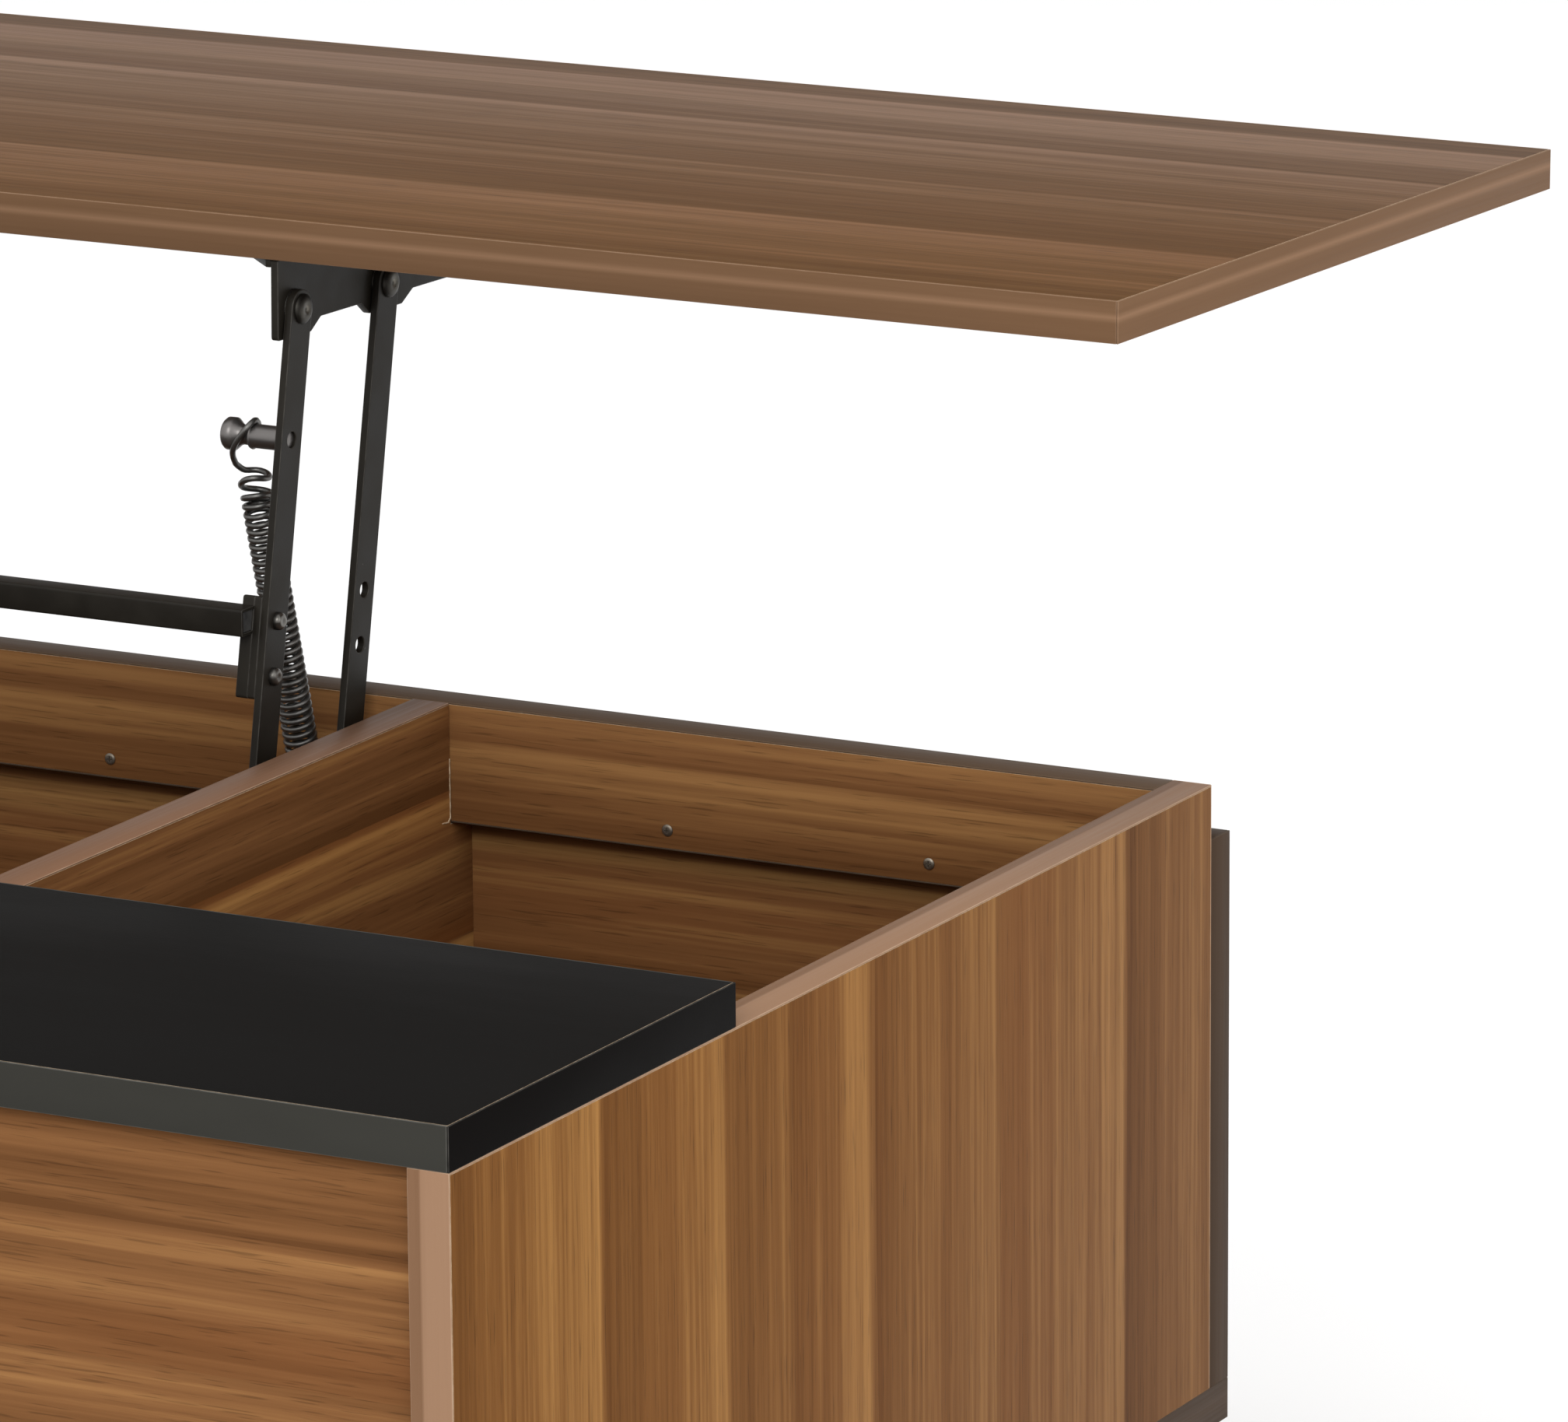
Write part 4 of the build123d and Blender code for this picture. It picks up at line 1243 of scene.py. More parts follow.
    def build(self) -> None:
        """Makes the whole carcass."""
        for board in self.boards():
            board.build(self.plan, self.raw)
        for (word, _), seed in zip(SIDES, (7.0, 15.0)):
            self.divider(word, seed)
        self.screws()
        beech = RawBoard("beech", light=(0.62, 0.45, 0.28), dark=(0.5, 0.34, 0.2), chip=3 * MM)
        dowels = frame["nodes"]["wood_dowels"]
        dowels.data.materials.clear()
        dowels.data.materials.append(beech.material())


# ---- Legs ----
@dataclass
class Legs:
    """Four tapered legs with their plates, screws and glides."""

    plan: Plan
    paint: PaintedSteel = PaintedSteel("leg_paint", roughness=0.5, wear=0.35)
    screw_steel: OiledSteel = OiledSteel("leg_screw_steel", bright=(0.35, 0.34, 0.33), wear=0.6)
    plastic: MouldedPlastic = MouldedPlastic("glide_plastic")
    corner: float = 6 * MM
    screw_spread: float = 30 * MM
    screw_head: tuple[float, float] = (4.5 * MM, 2.2 * MM)
    ease: float = 0.6 * MM

    def build(self) -> None:
        """Makes the legs one by one, then the plates and screws."""
        plates, screws = Shape(), Shape()
        plate_low, plate_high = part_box("leg_plates")
        radius, height = self.screw_head
        for word, _ in SIDES:
            for end in ("back", "front"):
                node = f"leg_{end}_{word}"
                low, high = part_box(node)
                middle = (low + high) / 2
                foot_low, foot_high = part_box(f"glide_{end}_{word}")
                self.leg(node, low, high, (foot_high.x - foot_low.x) / 2 + 0.5 * MM)
                self.glide(f"glide_{end}_{word}", foot_low, foot_high)
                outer = plate_high.x if middle.x > 0 else plate_low.x
                size = abs(outer - middle.x)
                square = rounded([(-size, -size), (size, -size), (size, size), (-size, size)], self.corner)
                spread = (-self.screw_spread, self.screw_spread)
                spots = [(x, y) for x in spread for y in spread]
                holes = [circle(spot, 2.2 * MM, 20) for spot in spots]
                place = Matrix.Translation((middle.x, middle.y, plate_low.z))
                plates.plate(square, holes, plate_high.z - plate_low.z, place)
                for x, y in spots:
                    facing_down = place @ Matrix.Translation((x, y, 0)) @ Matrix.Rotation(math.pi, 4, "X")
                    rings = screw_rings(radius, height, 2.1 * MM, plate_high.z - plate_low.z)
                    screws.turned(rings, facing_down)
        self.plan.settle(plates.piece("finished_leg_plates", (self.paint,)), "root", "leg_plates")
        self.plan.settle(screws.piece("finished_leg_screws", (self.screw_steel,)), "root", "leg_screws")

    def leg(self, node: str, low: Vector, high: Vector, foot: float) -> None:
        """Makes a leg that widens from its foot to its top."""
        top, tall = (high.x - low.x) / 2, high.z - low.z
        rings = [Ring(0, 0), Ring(0, foot - self.ease, 0.6, Section.SQUARE)]
        for k in range(9):
            share = k / 8
            along = self.ease + share * (tall - 2 * self.ease)
            rings.append(Ring(along, foot + (top - foot) * share, 0.5 if k == 0 else 0.0, Section.SQUARE))
        rings += [Ring(tall, top - self.ease, 0.3, Section.SQUARE), Ring(tall, 0)]
        shape = Shape()
        middle = (low + high) / 2
        shape.turned(rings, Matrix.Translation((middle.x, middle.y, low.z)), steps=72)
        self.plan.settle(shape.piece(f"finished_{node}", (self.paint,)), "root", node)

    def glide(self, node: str, low: Vector, high: Vector) -> None:
        """Makes a glide with a ribbed side and an eased sole."""
        half, tall = (high.x - low.x) / 2, high.z - low.z
        square = Section.SQUARE
        rings = [Ring(0, 0), Ring(0, half - 1 * MM, 0.3, square), Ring(1 * MM, half, 0.3, square)]
        for share, inset in ((0.45, 0.0), (0.5, 0.35), (0.6, 0.35), (0.65, 0.0)):
            rings.append(Ring(tall * share, half - inset * MM, 0.0, square))
        rings += [Ring(tall, half, 0.0, square), Ring(tall, 0)]
        shape = Shape()
        middle = (low + high) / 2
        shape.turned(rings, Matrix.Translation((middle.x, middle.y, low.z)), steps=72)
        self.plan.settle(shape.piece(f"finished_{node}", (self.plastic,)), "root", node)


# ---- Lift top ----
@dataclass
class LiftTop:
    """The raised board and the two angle brackets under it."""

    plan: Plan
    paint: PaintedSteel
    raw: RawBoard = RawBoard("raw_board")
    steel: float = 3 * MM
    angle_width: float = 25 * MM
    pivot_spacing: float = 61.5 * MM
    pivot_drop: float = 19 * MM
    lug_bottom: float = -10.5 * MM
    bracket_ends: tuple[float, float] = (-11 * MM, 200 * MM)
    screw_inset: float = 15 * MM
    screw_places: tuple[float, ...] = (28 * MM, 82 * MM, 136 * MM, 188 * MM)
    screw_head: tuple[float, float] = (4 * MM, 2 * MM)
    hole: float = 3.02 * MM

    def board(self) -> None:
        """Makes the board in its own tilted frame."""
        low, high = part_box("lift_top")
        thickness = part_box("fixed_top")[1].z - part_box("fixed_top")[0].z
        tilt_sin, tilt_cos = math.sin(self.plan.tilt), math.cos(self.plan.tilt)
        depth = (high.y - low.y - thickness * tilt_sin) / tilt_cos
        back_under = self.plan.lid.inverted() @ Vector((0, low.y, high.z - thickness * tilt_cos))
        face = WalnutPrint(
            "lift_walnut",
            tones=strip_tones(27, 364.0),
            seed=21.0,
            figure=0.04,
            light=(0.190, 0.086, 0.030),
            middle=(0.116, 0.050, 0.012),
            dark=(0.077, 0.032, 0.006),
            red=(0.106, 0.040, 0.009),
            worn=(0.33, 0.21, 0.13),
        )
        band = EdgeBand(
            "lift_band",
            tones=((0, 0.35), (7, 0.35), (9, 0.9), (11, 0.35), (15, 0.35)),
            light=(0.262, 0.150, 0.086),
            dark=(0.118, 0.061, 0.028),
            worn=(0.36, 0.24, 0.16),
        )  # fmt: skip
        bands = {edge: band for edge in (Edge.LEFT, Edge.RIGHT, Edge.BACK, Edge.FRONT)}
        board = Board("lift_top", "lid", face, Grain.LENGTHWISE, bands, 2)
        corner = Vector((low.x, back_under.y, back_under.z))
        far_corner = corner + Vector((high.x - low.x, depth, thickness))
        made = board.make("finished_lift_top", corner, far_corner, self.raw, self.plan.lid)
        self.plan.settle(made, "lid", "lift_top")

    def bracket(self, word: str, way: int) -> None:
        """Makes an angle bracket with two lugs for the arms' pivots.

        Args:
            word: Right or left.
            way: Sign of that side.
        """
        node = f"top_bracket_{word}"
        low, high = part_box(node)
        outer = high.x if way > 0 else -low.x
        inner, edge = outer - self.steel, outer - self.angle_width
        back, front = self.bracket_ends
        lug, strip = self.lug_bottom, self.pivot_drop - self.angle_width
        far = self.pivot_spacing
        outline = [
            (back, self.pivot_drop),
            (back, lug),
            (12 * MM, lug),
            (19 * MM, strip),
            (far - 14 * MM, strip),
            (far - 8 * MM, lug),
            (far + 15 * MM, lug),
            (far + 23 * MM, strip),
            (front - 30 * MM, strip),
            (front, 8 * MM),
            (front, self.pivot_drop),
        ]
        shape = Shape()
        wall = self.plan.lid @ side_plane(min(way * inner, way * outer))
        holes = [circle((0, 0), self.hole), circle((far, 0), self.hole)]
        shape.plate(rounded(outline, 1.6 * MM), holes, self.steel, wall)
        flange = [(inner, back), (inner - 2 * MM, back), (edge, back + 20 * MM), (edge, front), (inner, front)]
        flange = [(way * x, y) for x, y in flange]
        spots = [(way * (outer - self.screw_inset), y) for y in self.screw_places]
        flange_place = self.plan.lid @ Matrix.Translation((0, 0, self.pivot_drop - self.steel))
        holes = [circle(spot, 2.02 * MM, 20) for spot in spots]
        shape.plate(rounded(flange, 1.2 * MM), holes, self.steel, flange_place)
        self.plan.settle(shape.piece(f"finished_{node}", (self.paint,)), "lid", node)

    def screws(self) -> None:
        """Makes the screws that hold both brackets."""
        shape = Shape()
        radius, height = self.screw_head
        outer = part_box("top_bracket_right")[1].x
        down = Matrix.Translation((0, 0, self.pivot_drop - self.steel)) @ Matrix.Rotation(math.pi, 4, "X")
        for _, way in SIDES:
            for y in self.screw_places:
                at = Matrix.Translation((way * (outer - self.screw_inset), -y, 0))
                shape.turned(screw_rings(radius, height, 1.9 * MM, self.steel), self.plan.lid @ down @ at)
        steel = OiledSteel("bracket_screw_steel", bright=(0.4, 0.39, 0.37), wear=0.7)
        self.plan.settle(shape.piece("finished_top_bracket_screws", (steel,)), "lid", "top_bracket_screws")

    def build(self) -> None:
        """Makes the board, the brackets and their screws."""
        self.board()
        for word, way in SIDES:
            self.bracket(word, way)
        self.screws()


# ---- Linkage ----
@dataclass
class Linkage:
    """Arms, base brackets, pivots, cross bar, studs and anchors of both sides."""

    plan: Plan
    paint: PaintedSteel
    pin_steel: OiledSteel = OiledSteel("pin_steel")
    # Its bright colour also paints the highlight at the centre of each rivet head.
    rivet_steel: OiledSteel = OiledSteel(
        "rivet_steel",
        colour=(0.03, 0.028, 0.024),
        second=(0.018, 0.016, 0.014),
        bright=(0.5, 0.47, 0.4),
        roughness=0.42,
    )
    bolt_steel: OiledSteel = OiledSteel(
        "bolt_steel", colour=(0.085, 0.08, 0.072), second=(0.045, 0.042, 0.038), wear=0.35
    )
    sheet: float = 3 * MM
    pin: float = 3 * MM
    bolt: float = 2.2 * MM
    stud_length: float = 24 * MM
    pivot_spacing: float = 61.5 * MM
    bolt_reaches: tuple[float, float] = (104.5 * MM, 124.5 * MM)
    end_plate_reaches: tuple[float, float] = (96 * MM, 133 * MM)
    end_flange: float = 8 * MM
    tube: float = 10 * MM
    tube_wall: float = 1.2 * MM
    plug_inset: float = 0.6 * MM
    tube_from_pivot: tuple[float, float] = (14.0 * MM, 123.5 * MM)
    rivet_head: tuple[float, float] = (5.5 * MM, 2 * MM)
    running_gap: float = 0.05 * MM
    base_screw_spots: tuple[float, float, float, float] = (12 * MM, 61 * MM, 11 * MM, 43 * MM)

    def __post_init__(self) -> None:
        """Reads the arms' ends and planes from the frame."""
        arm_low, arm_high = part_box("rear_arm_right")
        self.arm_inner, self.arm_outer = arm_low.x, arm_high.x
        self.rear_base = self.plan.pivots["lift"].yz
        self.rear_top = self.plan.pivots["top_tilt"].yz
        self.front_base = self.plan.pivots["front_arm_swing_right"].yz
        self.width = 2 * (self.rear_base.x - arm_low.y)
        front_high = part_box("front_arm_right")[1]
        self.front_top = Vector((front_high.y - self.width / 2, front_high.z - self.width / 2))
        stud_low, stud_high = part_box("spring_studs")
        self.stud = Vector(((stud_low.y + stud_high.y) / 2, (stud_low.z + stud_high.z) / 2))
        self.anchor = self.plan.pivots["spring_swing_right"].yz
        self.along = (self.rear_top - self.rear_base).normalized()
        self.front_along = (self.front_top - self.front_base).normalized()

    def rear_spots(self) -> list[Vector]:
        """Centres of the bolts on a rear arm."""
        return [self.rear_base + self.along * reach for reach in self.bolt_reaches]

    def arms(self, word: str, way: int) -> None:
        """Makes the two arms of a side.

        Args:
            word: Right or left.
            way: Sign of that side.
        """
        place = side_plane(min(way * self.arm_inner, way * self.arm_outer))
        thickness = self.arm_outer - self.arm_inner
        rear = Shape()
        holes = [circle(spot, self.pin, 28) for spot in (self.rear_base, self.rear_top, self.stud)]
        holes += [circle(spot, self.bolt, 28) for spot in self.rear_spots()]
        rear.plate(slot_line(self.rear_base, self.rear_top, self.width), holes, thickness, place)
        made = rear.piece(f"finished_rear_arm_{word}", (self.paint,))
        self.plan.settle(made, "rear_arms", f"rear_arm_{word}")
        front = Shape()
        spots = [self.front_base + self.front_along * reach for reach in (0.0, *self.bolt_reaches)]
        holes = [circle(spot, self.pin, 28) for spot in spots] + [circle(self.front_top, self.pin + 0.6 * MM)]
        front.plate(slot_line(self.front_base, self.front_top, self.width), holes, thickness, place)
        node = f"front_arm_{word}"
        self.plan.settle(front.piece(f"finished_{node}", (self.paint,)), node, node)

    def base_bracket(self, word: str, way: int) -> None:
        """Makes the channel that carries the lower pivots.

        Args:
            word: Right or left.
            way: Sign of that side.
        """
        node = f"base_bracket_{word}"
        low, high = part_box(node)
        inner, outer = (low.x, high.x) if way > 0 else (high.x, low.x)
        outline = rounded([(low.y, low.z), (high.y, low.z), (high.y, high.z), (low.y, high.z)], 3 * MM)
        near_y, far_y, near_z, far_z = self.base_screw_spots
        screws = [(low.y + y, low.z + z) for y in (near_y, far_y) for z in (near_z, far_z)]
        spots = (self.rear_base, self.front_base, self.anchor)
        pins = [circle(spot, self.pin + 0.02 * MM, 24) for spot in spots]
        shape = Shape()
        wall = side_plane(min(inner, inner + way * self.sheet))
        shape.plate(outline, pins + [circle(s, 5.5 * MM, 28) for s in screws], self.sheet, wall)
        wall = side_plane(min(outer, outer - way * self.sheet))
        shape.plate(outline, [circle(s, 2.02 * MM, 20) for s in screws], self.sheet, wall)
        web_low = Vector((low.x + self.sheet, low.y, low.z))
        web_high = Vector((high.x - self.sheet, high.y, low.z + self.sheet))
        shape.block(web_low, web_high, 0.3 * MM)
        self.plan.settle(shape.piece(f"finished_{node}", (self.paint,)), "root", node)

    def base_screws(self) -> None:
        """Makes the screws that hold both base brackets."""
        shape = Shape()
        low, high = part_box("base_bracket_right")
        near_y, far_y, near_z, far_z = self.base_screw_spots
        for _, way in SIDES:
            for y in (near_y, far_y):
                for z in (near_z, far_z):
                    place = pin_place(-way, way * (high.x - self.sheet), low.y + y, low.z + z)
                    shape.turned(screw_rings(4 * MM, 2 * MM, 2 * MM, 15 * MM), place)
        self.plan.settle(
            shape.piece("finished_base_bracket_screws", (self.bolt_steel,)), "root", "base_bracket_screws"
        )

    def pivots(self) -> None:
        """Makes the rivets of the base and of the top, with their washers."""
        radius, height = self.rivet_head
        bracket_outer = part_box("base_bracket_right")[0].x + self.sheet
        top_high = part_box("top_bracket_right")[1]
        top_inner = top_high.x - self.sheet
        base, top, base_washers, top_washers = Shape(), Shape(), Shape(), Shape()
        top_spots = [Vector((0, 0)), Vector((self.pivot_spacing, 0))]
        washer_base, washer_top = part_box("base_washers"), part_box("top_washers")
        washer_radius = self.rear_base.x - washer_base[0].y
        for _, way in SIDES:
            for spot in (self.rear_base, self.front_base):
                place = pin_place(-way, way * (self.arm_inner - self.running_gap), *spot)
                length = bracket_outer - self.arm_inner + self.running_gap
                base.turned(rivet_rings(radius, height, self.pin, length), place, steps=36)
                steel = washer_base[1].x - self.arm_outer - 0.1 * MM
                near = self.arm_outer + 0.1 * MM
                lines = (circle(spot, washer_radius), [circle(spot, self.pin)])
                place = side_plane(min(way * near, way * (near + steel)))
                base_washers.plate(*lines, steel, place, 0.08 * MM)
            for spot in top_spots:
                local = self.plan.lid @ pin_place(way, way * (self.arm_outer + self.running_gap), *spot)
                length = self.arm_outer + self.running_gap - top_inner
                top.turned(rivet_rings(radius, height, self.pin, length), local, steps=36)
                near = top_high.x
                steel = washer_top[1].x - near
                lines = (circle(spot, washer_radius), [circle(spot, self.pin)])
                place = self.plan.lid @ side_plane(min(way * near, way * (near + steel)))
                top_washers.plate(*lines, steel, place, 0.08 * MM)
        for shape, body, node in (
            (base, "root", "base_pivots"),
            (top, "lid", "top_pivots"),
            (base_washers, "root", "base_washers"),
            (top_washers, "lid", "top_washers"),
        ):
            self.plan.settle(shape.piece(f"finished_{node}", (self.rivet_steel,)), body, node)

    def cross_bar(self) -> None:
        """Makes the square tube with an angle welded to each end."""
        shape = Shape()
        end = self.arm_inner - self.sheet
        centre = self.rear_base + Vector(self.tube_from_pivot)
        half, bore = self.tube / 2, self.tube / 2 - self.tube_wall

        def square(size: float, corner: float) -> list[tuple[float, float]]:
            """Rounded square round the tube's centre."""
            turns = ((-1, -1), (1, -1), (1, 1), (-1, 1))
            return rounded([(centre.x + y * size, centre.y + z * size) for y, z in turns], corner)

        shape.plate(square(half, 1.1 * MM), [square(bore, 0.4 * MM)], 2 * end, side_plane(-end), 0.2 * MM)
        low_reach, high_reach = self.end_plate_reaches
        across = Vector((self.along.y, -self.along.x))

        def strip(near: float, far: float) -> list[tuple[float, float]]:
            """Rounded strip along the arm between two offsets from its middle line."""
            turns = ((low_reach, near), (high_reach, near), (high_reach, far), (low_reach, far))
            corners = [self.rear_base + self.along * reach + across * offset for reach, offset in turns]
            return rounded([tuple(c) for c in corners], 1.2 * MM)

        half_width = self.width / 2
        for _, way in SIDES:
            place = side_plane(min(way * end, way * self.arm_inner))
            holes = [circle(spot, self.bolt, 24) for spot in self.rear_spots()]
            shape.plate(strip(-half_width, half_width), holes, self.sheet, place)
            flange_near = self.arm_inner - self.end_flange
            place = side_plane(min(way * flange_near, way * end))
            shape.plate(strip(-half_width, -half_width + self.sheet), (), end - flange_near, place)
        self.plan.settle(shape.piece("finished_cross_bar", (self.paint,)), "rear_arms", "cross_bar")
        # Recessed black plugs close the tube's ends: partly a real plastic plug, partly painted shade for the
        # dark band at the tube's end.
        plugs = Shape()
        for _, way in SIDES:
            x = way * (end - self.plug_inset)
            place = side_plane(min(x, x - way * 2 * MM))
            plugs.plate(square(bore - 0.05 * MM, 0.4 * MM), (), 2 * MM, place, 0.2 * MM)
        self.plan.settle(plugs.piece("tube_plugs", (MouldedPlastic("plug_plastic"),)), "rear_arms")

    def bolts(self) -> None:
        """Makes the bolts and nuts that hold the cross bar."""
        shape = Shape()
        nut_end = self.arm_inner - self.sheet - 4 * MM
        for _, way in SIDES:
            for spot in self.rear_spots():
                head = pin_place(way, way * self.arm_outer, *spot)
                rings = [
                    Ring(nut_end - self.arm_outer - 0.4 * MM, 0),
                    Ring(nut_end - self.arm_outer - 0.4 * MM, 2.0 * MM, 0.6),
                    Ring(nut_end - self.arm_outer, self.bolt),
                    Ring(0, self.bolt),
                    Ring(0, 3.3 * MM),
                    Ring(1.0 * MM, 3.3 * MM, 0.3),
                    # The dome's crown is marked worn so it shows bright: partly rubbed metal, partly a painted
                    # highlight.
                    Ring(1.8 * MM, 3.0 * MM, 0.8),
                    Ring(2.4 * MM, 2.4 * MM, 1.0),
                    Ring(2.6 * MM, 1.5 * MM, 1.0),
                    Ring(2.4 * MM, 0.9 * MM, 0.7),
                    Ring(2.4 * MM, 0),
                ]
                shape.turned(rings, head, steps=36)
                nut = pin_place(-way, way * (self.arm_inner - self.sheet), *spot)
                hexagon = Section.HEX
                rings = [
                    Ring(0, self.bolt),
                    Ring(0, 4.0 * MM, 0.3, hexagon),
                    Ring(3.6 * MM, 4.0 * MM, 0.5, hexagon),
                    Ring(4 * MM, 3.4 * MM, 0.8),
                    Ring(4 * MM, self.bolt),
                ]
                shape.turned(rings, nut, steps=36)
        made = shape.piece("finished_cross_bar_bolts", (self.bolt_steel,))
        self.plan.settle(made, "rear_arms", "cross_bar_bolts")

    def studs(self) -> None:
        """Makes the pins that hold the springs' ends."""
        low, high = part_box("spring_studs")
        eye = (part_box("spring_right")[0].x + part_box("spring_right")[1].x) / 2
        groove = high.x - eye
        head_end = high.x - self.arm_inner + self.stud_length
        rings = [
            Ring(1.0 * MM, 0),
            Ring(1.0 * MM, 2.6 * MM),
            Ring(1.3 * MM, 3.0 * MM),
            Ring(3.0 * MM, 3.0 * MM),
            Ring(3.0 * MM, 4.4 * MM),
            Ring(groove - 3.4 * MM, 4.4 * MM, 0.5),
            Ring(groove - 3.0 * MM, 4.9 * MM, 0.9),
            Ring(groove - 2.5 * MM, 4.7 * MM, 0.6),
            Ring(groove - 1.6 * MM, 3.6 * MM),
            Ring(groove + 0.8 * MM, 3.5 * MM),
            Ring(groove + 2.2 * MM, 4.0 * MM, 0.4),
            Ring(groove + 3.8 * MM, 5.3 * MM, 0.7),
            Ring(groove + 4.6 * MM, 6.0 * MM, 1.0),
            Ring(head_end - 1.0 * MM, 6.0 * MM, 1.0),
            Ring(head_end - 0.2 * MM, 5.4 * MM, 0.8),
            Ring(head_end, 3.6 * MM, 0.3),
            Ring(head_end - 0.8 * MM, 2.4 * MM, 0.9),
            Ring(head_end - 0.8 * MM, 0),
        ]
        studs, anchors = Shape(), Shape()
        for _, way in SIDES:
            studs.turned(rings, pin_place(-way, way * high.x, *self.stud), steps=40)
        self.plan.settle(studs.piece("finished_spring_studs", (self.pin_steel,)), "rear_arms", "spring_studs")
        low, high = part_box("spring_anchors")
        collar = (high.z - low.z) / 2
        wall = high.x - self.sheet
        eye_start, eye_end = high.x - eye - 3.3 * MM, high.x - eye + 3.3 * MM
        rings = [
            Ring(0, 0),
            Ring(0, self.pin, 0.8),
            Ring(self.sheet, self.pin),
            Ring(self.sheet, collar - 0.3 * MM),
            Ring(self.sheet + 0.3 * MM, collar, 0.8),
            Ring(high.x - self.arm_inner - 0.3 * MM, collar, 0.8),
            Ring(high.x - self.arm_inner, collar - 0.3 * MM),
            Ring(high.x - self.arm_inner, 4.0 * MM),
            Ring(eye_start, 4.0 * MM, 0.5),
            Ring(eye_start + 0.5 * MM, 3.5 * MM),
            Ring(eye_end - 0.5 * MM, 3.5 * MM),
            Ring(eye_end, 5.5 * MM, 0.7),
            Ring(eye_end + 2.6 * MM, 5.5 * MM, 0.9),
            Ring(eye_end + 3.2 * MM, 4.9 * MM, 0.4),
            Ring(eye_end + 3.2 * MM, 0),
        ]
        for _, way in SIDES:
            anchors.turned(rings, pin_place(-way, way * (wall + self.sheet), *self.anchor), steps=40)
        made = anchors.piece("finished_spring_anchors", (self.pin_steel,))
        self.plan.settle(made, "root", "spring_anchors")

    def build(self) -> None:
        """Makes the linkage of both sides."""
        for word, way in SIDES:
            self.arms(word, way)
            self.base_bracket(word, way)
        self.base_screws()
        self.pivots()
        self.cross_bar()
        self.bolts()
        self.studs()


# ---- Springs ----
@dataclass
class Springs:
    """The two wound extension springs, each one wire from hook to hook."""

    plan: Plan
    stud: Vector
    wire_steel: OiledSteel = OiledSteel(
        "spring_wire", colour=(0.10, 0.094, 0.086), second=(0.05, 0.046, 0.042), roughness=0.24
    )
    wire_radius: float = 1.15 * MM
    coil_radius: float = 5.5 * MM
    hook_radius: float = 4.5 * MM
    pitch: float = 3.1 * MM
    open_pitch: float = 6.8 * MM
    open_turns: float = 1.38
    last_turn: float = 0.19
    flat_turn: float = 0.076
    droop: float = 1.5 * MM
    lower_hook: float = 14 * MM
    upper_hook: float = 14.5 * MM
    steps: int = 24
    tight_lean: tuple[float, float] = (0.13, -0.52)
    lean_turns: float = 2.5
    tip: tuple[tuple[float, float, float], ...] = (
        (-6.4, -0.5, -12.3),
        (-6.2, -1.6, -10.2),
        (-5.8, -2.7, -8.1),
        (-4.9, -3.9, -5.8),
        (-3.8, -4.8, -3.8),
        (-2.1, -5.0, -0.9),
        (0.6, -4.5, 2.4),
        (2.6, -3.2, 4.8),
        (3.5, -0.5, 5.7),
        (3.2, 2.5, 5.1),
        (2.4, 4.8, 2.5),
        (1.8, 5.0, -0.5),
        (1.4, 4.3, -2.6),
    )

    def path(self, length: float) -> list[tuple[float, float, float]]:
        """Middle line of the wire.

        Args:
            length: Distance between the anchor and the stud.

        Returns:
            Points as (towards the arm, to the spring's front, along it from the anchor).
        """
        points = []
        for k in range(15):
            angle = math.radians(-150 + 150 * k / 14)
            points.append((0.0, self.hook_radius * math.cos(angle), self.hook_radius * math.sin(angle)))
        start, end = self.lower_hook, length - self.upper_hook
        reach = self.open_turns * self.open_pitch
        whole = round((end - start - reach) / self.pitch + self.open_turns - self.last_turn)
        turns = whole + self.last_turn
        tight_turns = turns - self.open_turns
        tight_pitch = (end - start - reach) / tight_turns
        count = int(turns * self.steps)
        for k in range(count + 1):
            turn = turns * k / count
            angle, opened = 2 * math.pi * turn, max(0.0, turn - tight_turns)
            share = min(1.0, max(0.0, (turn - tight_turns) / self.lean_turns + 1))
            seen = angle - 2 * math.pi * self.flat_turn
            steady = opened - min(1.0, 2 * opened) * math.sin(2 * seen) / (4.4 * math.pi)
            across, forward = -self.coil_radius * math.sin(angle), self.coil_radius * math.cos(angle)
            slant = share * (self.tight_lean[0] * across + self.tight_lean[1] * forward)
            slant += min(1.0, opened) * self.droop * math.cos(seen) ** 2
            along = start + min(turn, tight_turns) * tight_pitch + steady * self.open_pitch + slant
            points.append((across, forward, along))
        tip = [Vector((x * MM, y * MM, length + z * MM)) for x, y, z in self.tip]
        points += [tuple(p) for p in curve_through([Vector(points[-1]), *tip], 4)[1:]]
        return points

    def build(self) -> None:
        """Winds both springs, each between its anchor and its stud."""
        for word, way in SIDES:
            low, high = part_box(f"spring_{word}")
            middle = (low.x + high.x) / 2
            anchor = self.plan.pivots[f"spring_swing_{word}"].yz
            line = self.stud - anchor
            along = line.normalized()
            front = Vector((along.y, -along.x))
            path = []
            for across, forward, distance in self.path(line.length):
                spot = anchor + along * distance + front * forward
                path.append(Vector((middle + way * across, spot.x, spot.y)))
            shape = Shape()
            shape.wire(smoothed(path, 2), self.wire_radius, sides=8)
            made = shape.piece(f"wound_spring_{word}", (self.wire_steel,))
            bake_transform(made)
            nodes = [f"spring_{word}", f"spring_neck_{word}"] + (["spring_eyes"] if way > 0 else [])
            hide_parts(*nodes)
            log.info("%s bends between its two bodies", made.name)


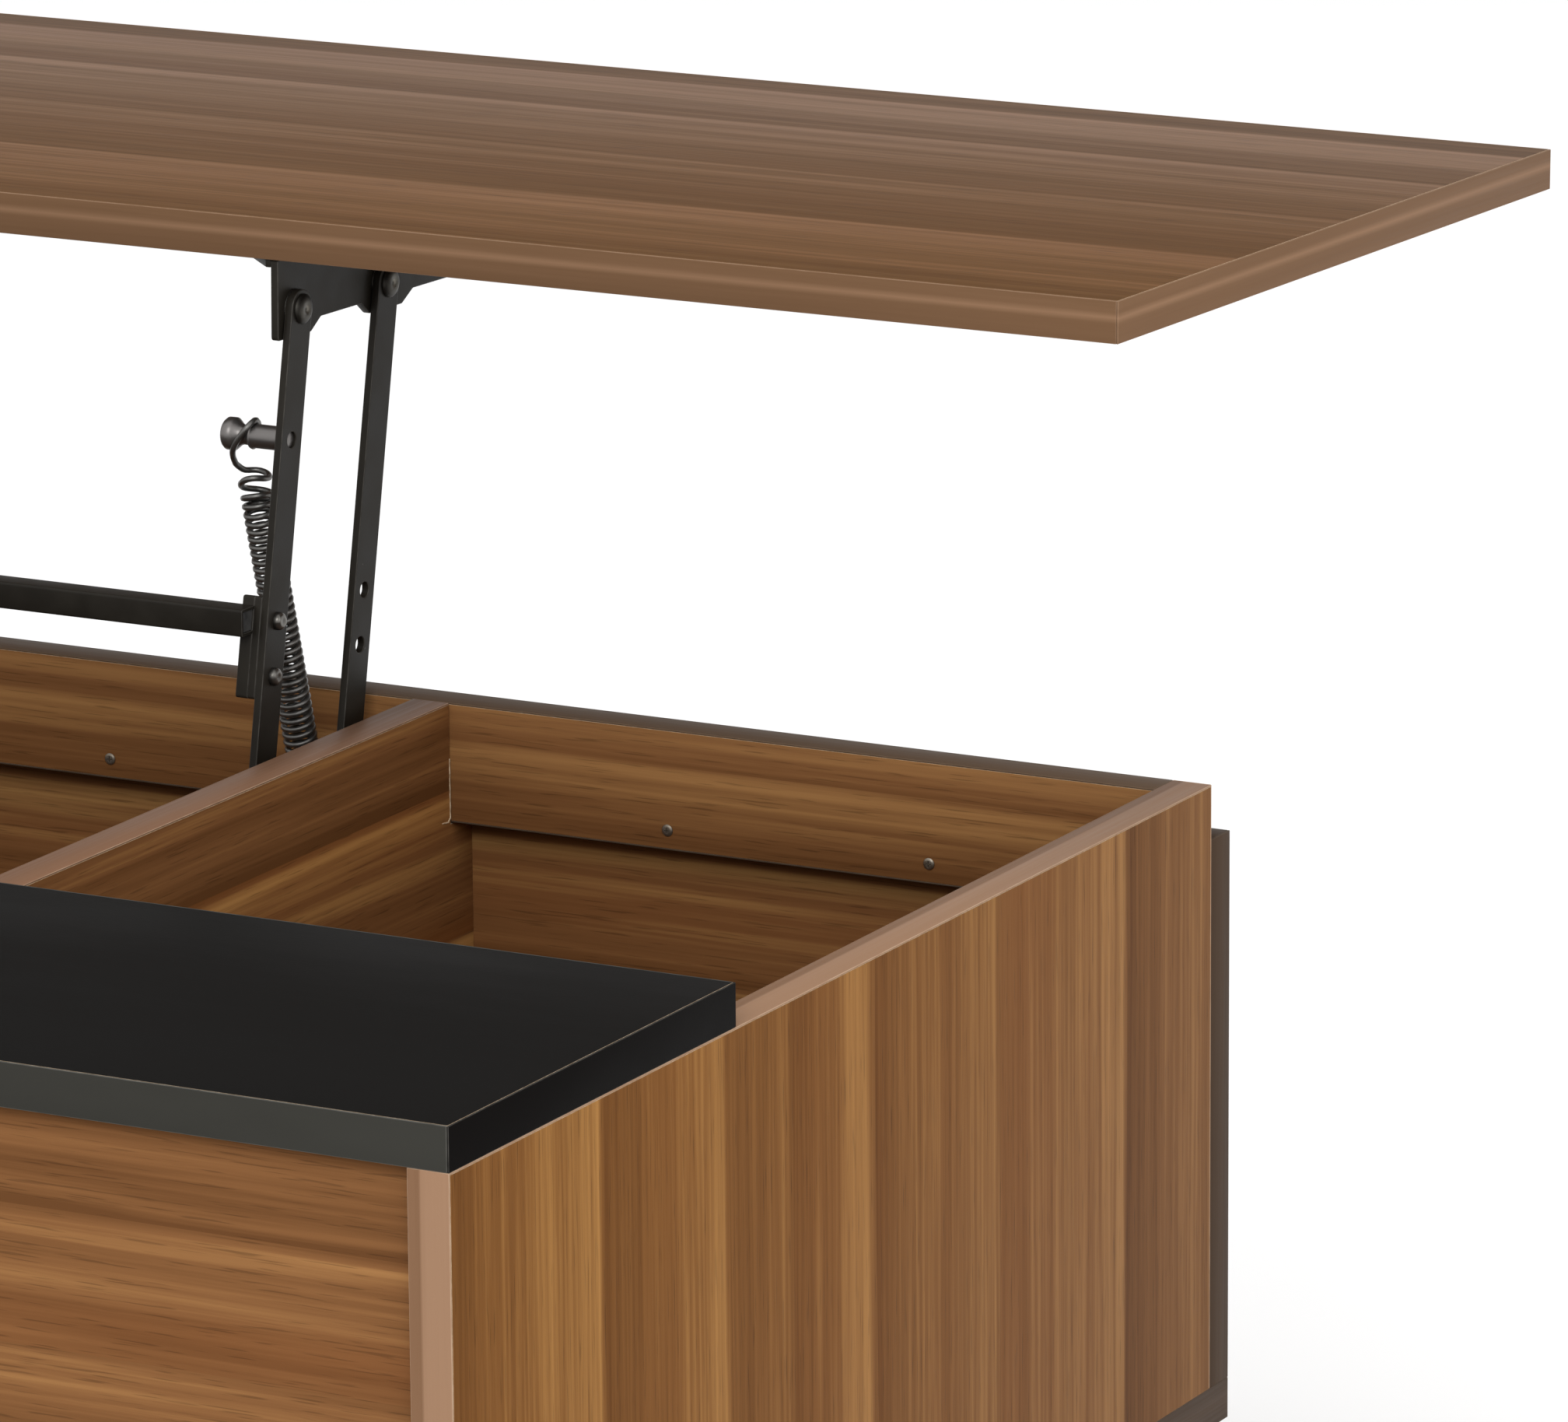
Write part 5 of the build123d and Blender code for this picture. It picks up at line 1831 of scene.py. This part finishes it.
def curve_through(points: Sequence[Vector], steps: int) -> list[Vector]:
    """Smooth curve through points.

    Args:
        points: Points that the curve passes.
        steps: Spans between two points.

    Returns:
        The curve's points.
    """
    curve = []
    for i in range(len(points) - 1):
        before, here, after = points[max(i - 1, 0)], points[i], points[i + 1]
        beyond = points[min(i + 2, len(points) - 1)]
        for k in range(steps):
            t = k / steps
            bend = (2 * before - 5 * here + 4 * after - beyond) * t**2
            bend += (3 * here - before - 3 * after + beyond) * t**3
            curve.append((2 * here + (after - before) * t + bend) / 2)
    return [*curve, points[-1]]


def smoothed(path: Sequence[Vector], rounds: int) -> list[Vector]:
    """Softens the kinks of a path and keeps its ends.

    Args:
        path: The points.
        rounds: How many times each point moves towards its neighbours' middle.

    Returns:
        The softened points.
    """
    points = list(path)
    for _ in range(rounds):
        inner = [(a + b * 2 + c) / 4 for a, b, c in zip(points, points[1:], points[2:])]
        points = [points[0], *inner, points[-1]]
    return points


# ---- Studio ----
@dataclass
class Studio:
    """Floor, lights and camera."""

    floor_size: float = 60.0
    azimuth: float = 28.208
    elevation: float = 13.885
    roll: float = -0.428
    lens: float = 225.5
    stand: tuple[float, float, float] = (1.446, -2.478, 0.853)

    def floor(self) -> None:
        """Lays the pale floor."""
        shape = Shape()
        half = self.floor_size / 2
        shape.block(Vector((-half, -half, -0.02)), Vector((half, half, 0)), 5 * MM)
        shape.piece("studio_floor", (PaleFloor("pale_floor"),))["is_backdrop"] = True

    def light(self, name: str, place: tuple, size: float, power: float, target: Vector) -> None:
        """Hangs a square soft light that looks at a point.

        Args:
            name: Name of the light.
            place: Where it hangs.
            size: Length of its side.
            power: Its power.
            target: What it looks at.
        """
        data = bpy.data.lights.new(name, "AREA")
        data.shape, data.size, data.energy = "SQUARE", size, power
        lamp = bpy.data.objects.new(name, data)
        bpy.context.scene.collection.objects.link(lamp)
        lamp.location = place
        lamp.rotation_euler = (target - Vector(place)).to_track_quat("-Z", "Y").to_euler()

    def build(self, box: tuple[Vector, Vector]) -> None:
        """Sets up the studio round the object.

        Args:
            box: Lowest and highest corner of the object.
        """
        scene = bpy.context.scene
        scene.view_settings.view_transform = "Standard"
        middle = (box[0] + box[1]) / 2
        self.floor()
        world = bpy.data.worlds.new("soft_room")
        world.use_nodes = True
        background = world.node_tree.nodes["Background"]
        background.inputs["Color"].default_value = (1.0, 1.0, 1.0, 1.0)
        background.inputs["Strength"].default_value = 1.0
        scene.world = world
        self.light("key_light", (1.2, -3.2, 2.6), 1.6, 45, middle)
        self.light("fill_light", (3.4, -0.6, 1.8), 2.4, 14, middle)
        self.light("top_light", (-0.4, 0.8, 3.6), 2.6, 14, middle)
        data = bpy.data.cameras.new("camera")
        data.lens, data.sensor_width, data.clip_end = self.lens, 36.0, 200.0
        camera = bpy.data.objects.new("camera", data)
        scene.collection.objects.link(camera)
        side_low, side_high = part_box("side_panel_right")
        corner = Vector((side_high.x, side_low.y, side_high.z))
        turn = Matrix.Rotation(math.radians(self.azimuth), 4, "Z")
        turn @= Matrix.Rotation(math.radians(90 - self.elevation), 4, "X")
        turn @= Matrix.Rotation(math.radians(self.roll), 4, "Z")
        camera.matrix_world = Matrix.Translation(corner + Vector(self.stand)) @ turn
        scene.camera = camera


def main() -> None:
    """Builds the table's looks in order."""
    logging.basicConfig(level=logging.INFO, format="%(message)s")
    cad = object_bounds()
    plan = Plan.read(frame)
    steel_paint = PaintedSteel("linkage_paint")
    Carcass(plan).build()
    Legs(plan).build()
    LiftTop(plan, steel_paint).build()
    linkage = Linkage(plan, steel_paint)
    linkage.build()
    Springs(plan, linkage.stud).build()
    Studio().build(cad)


if __name__ == "__main__":
    main()
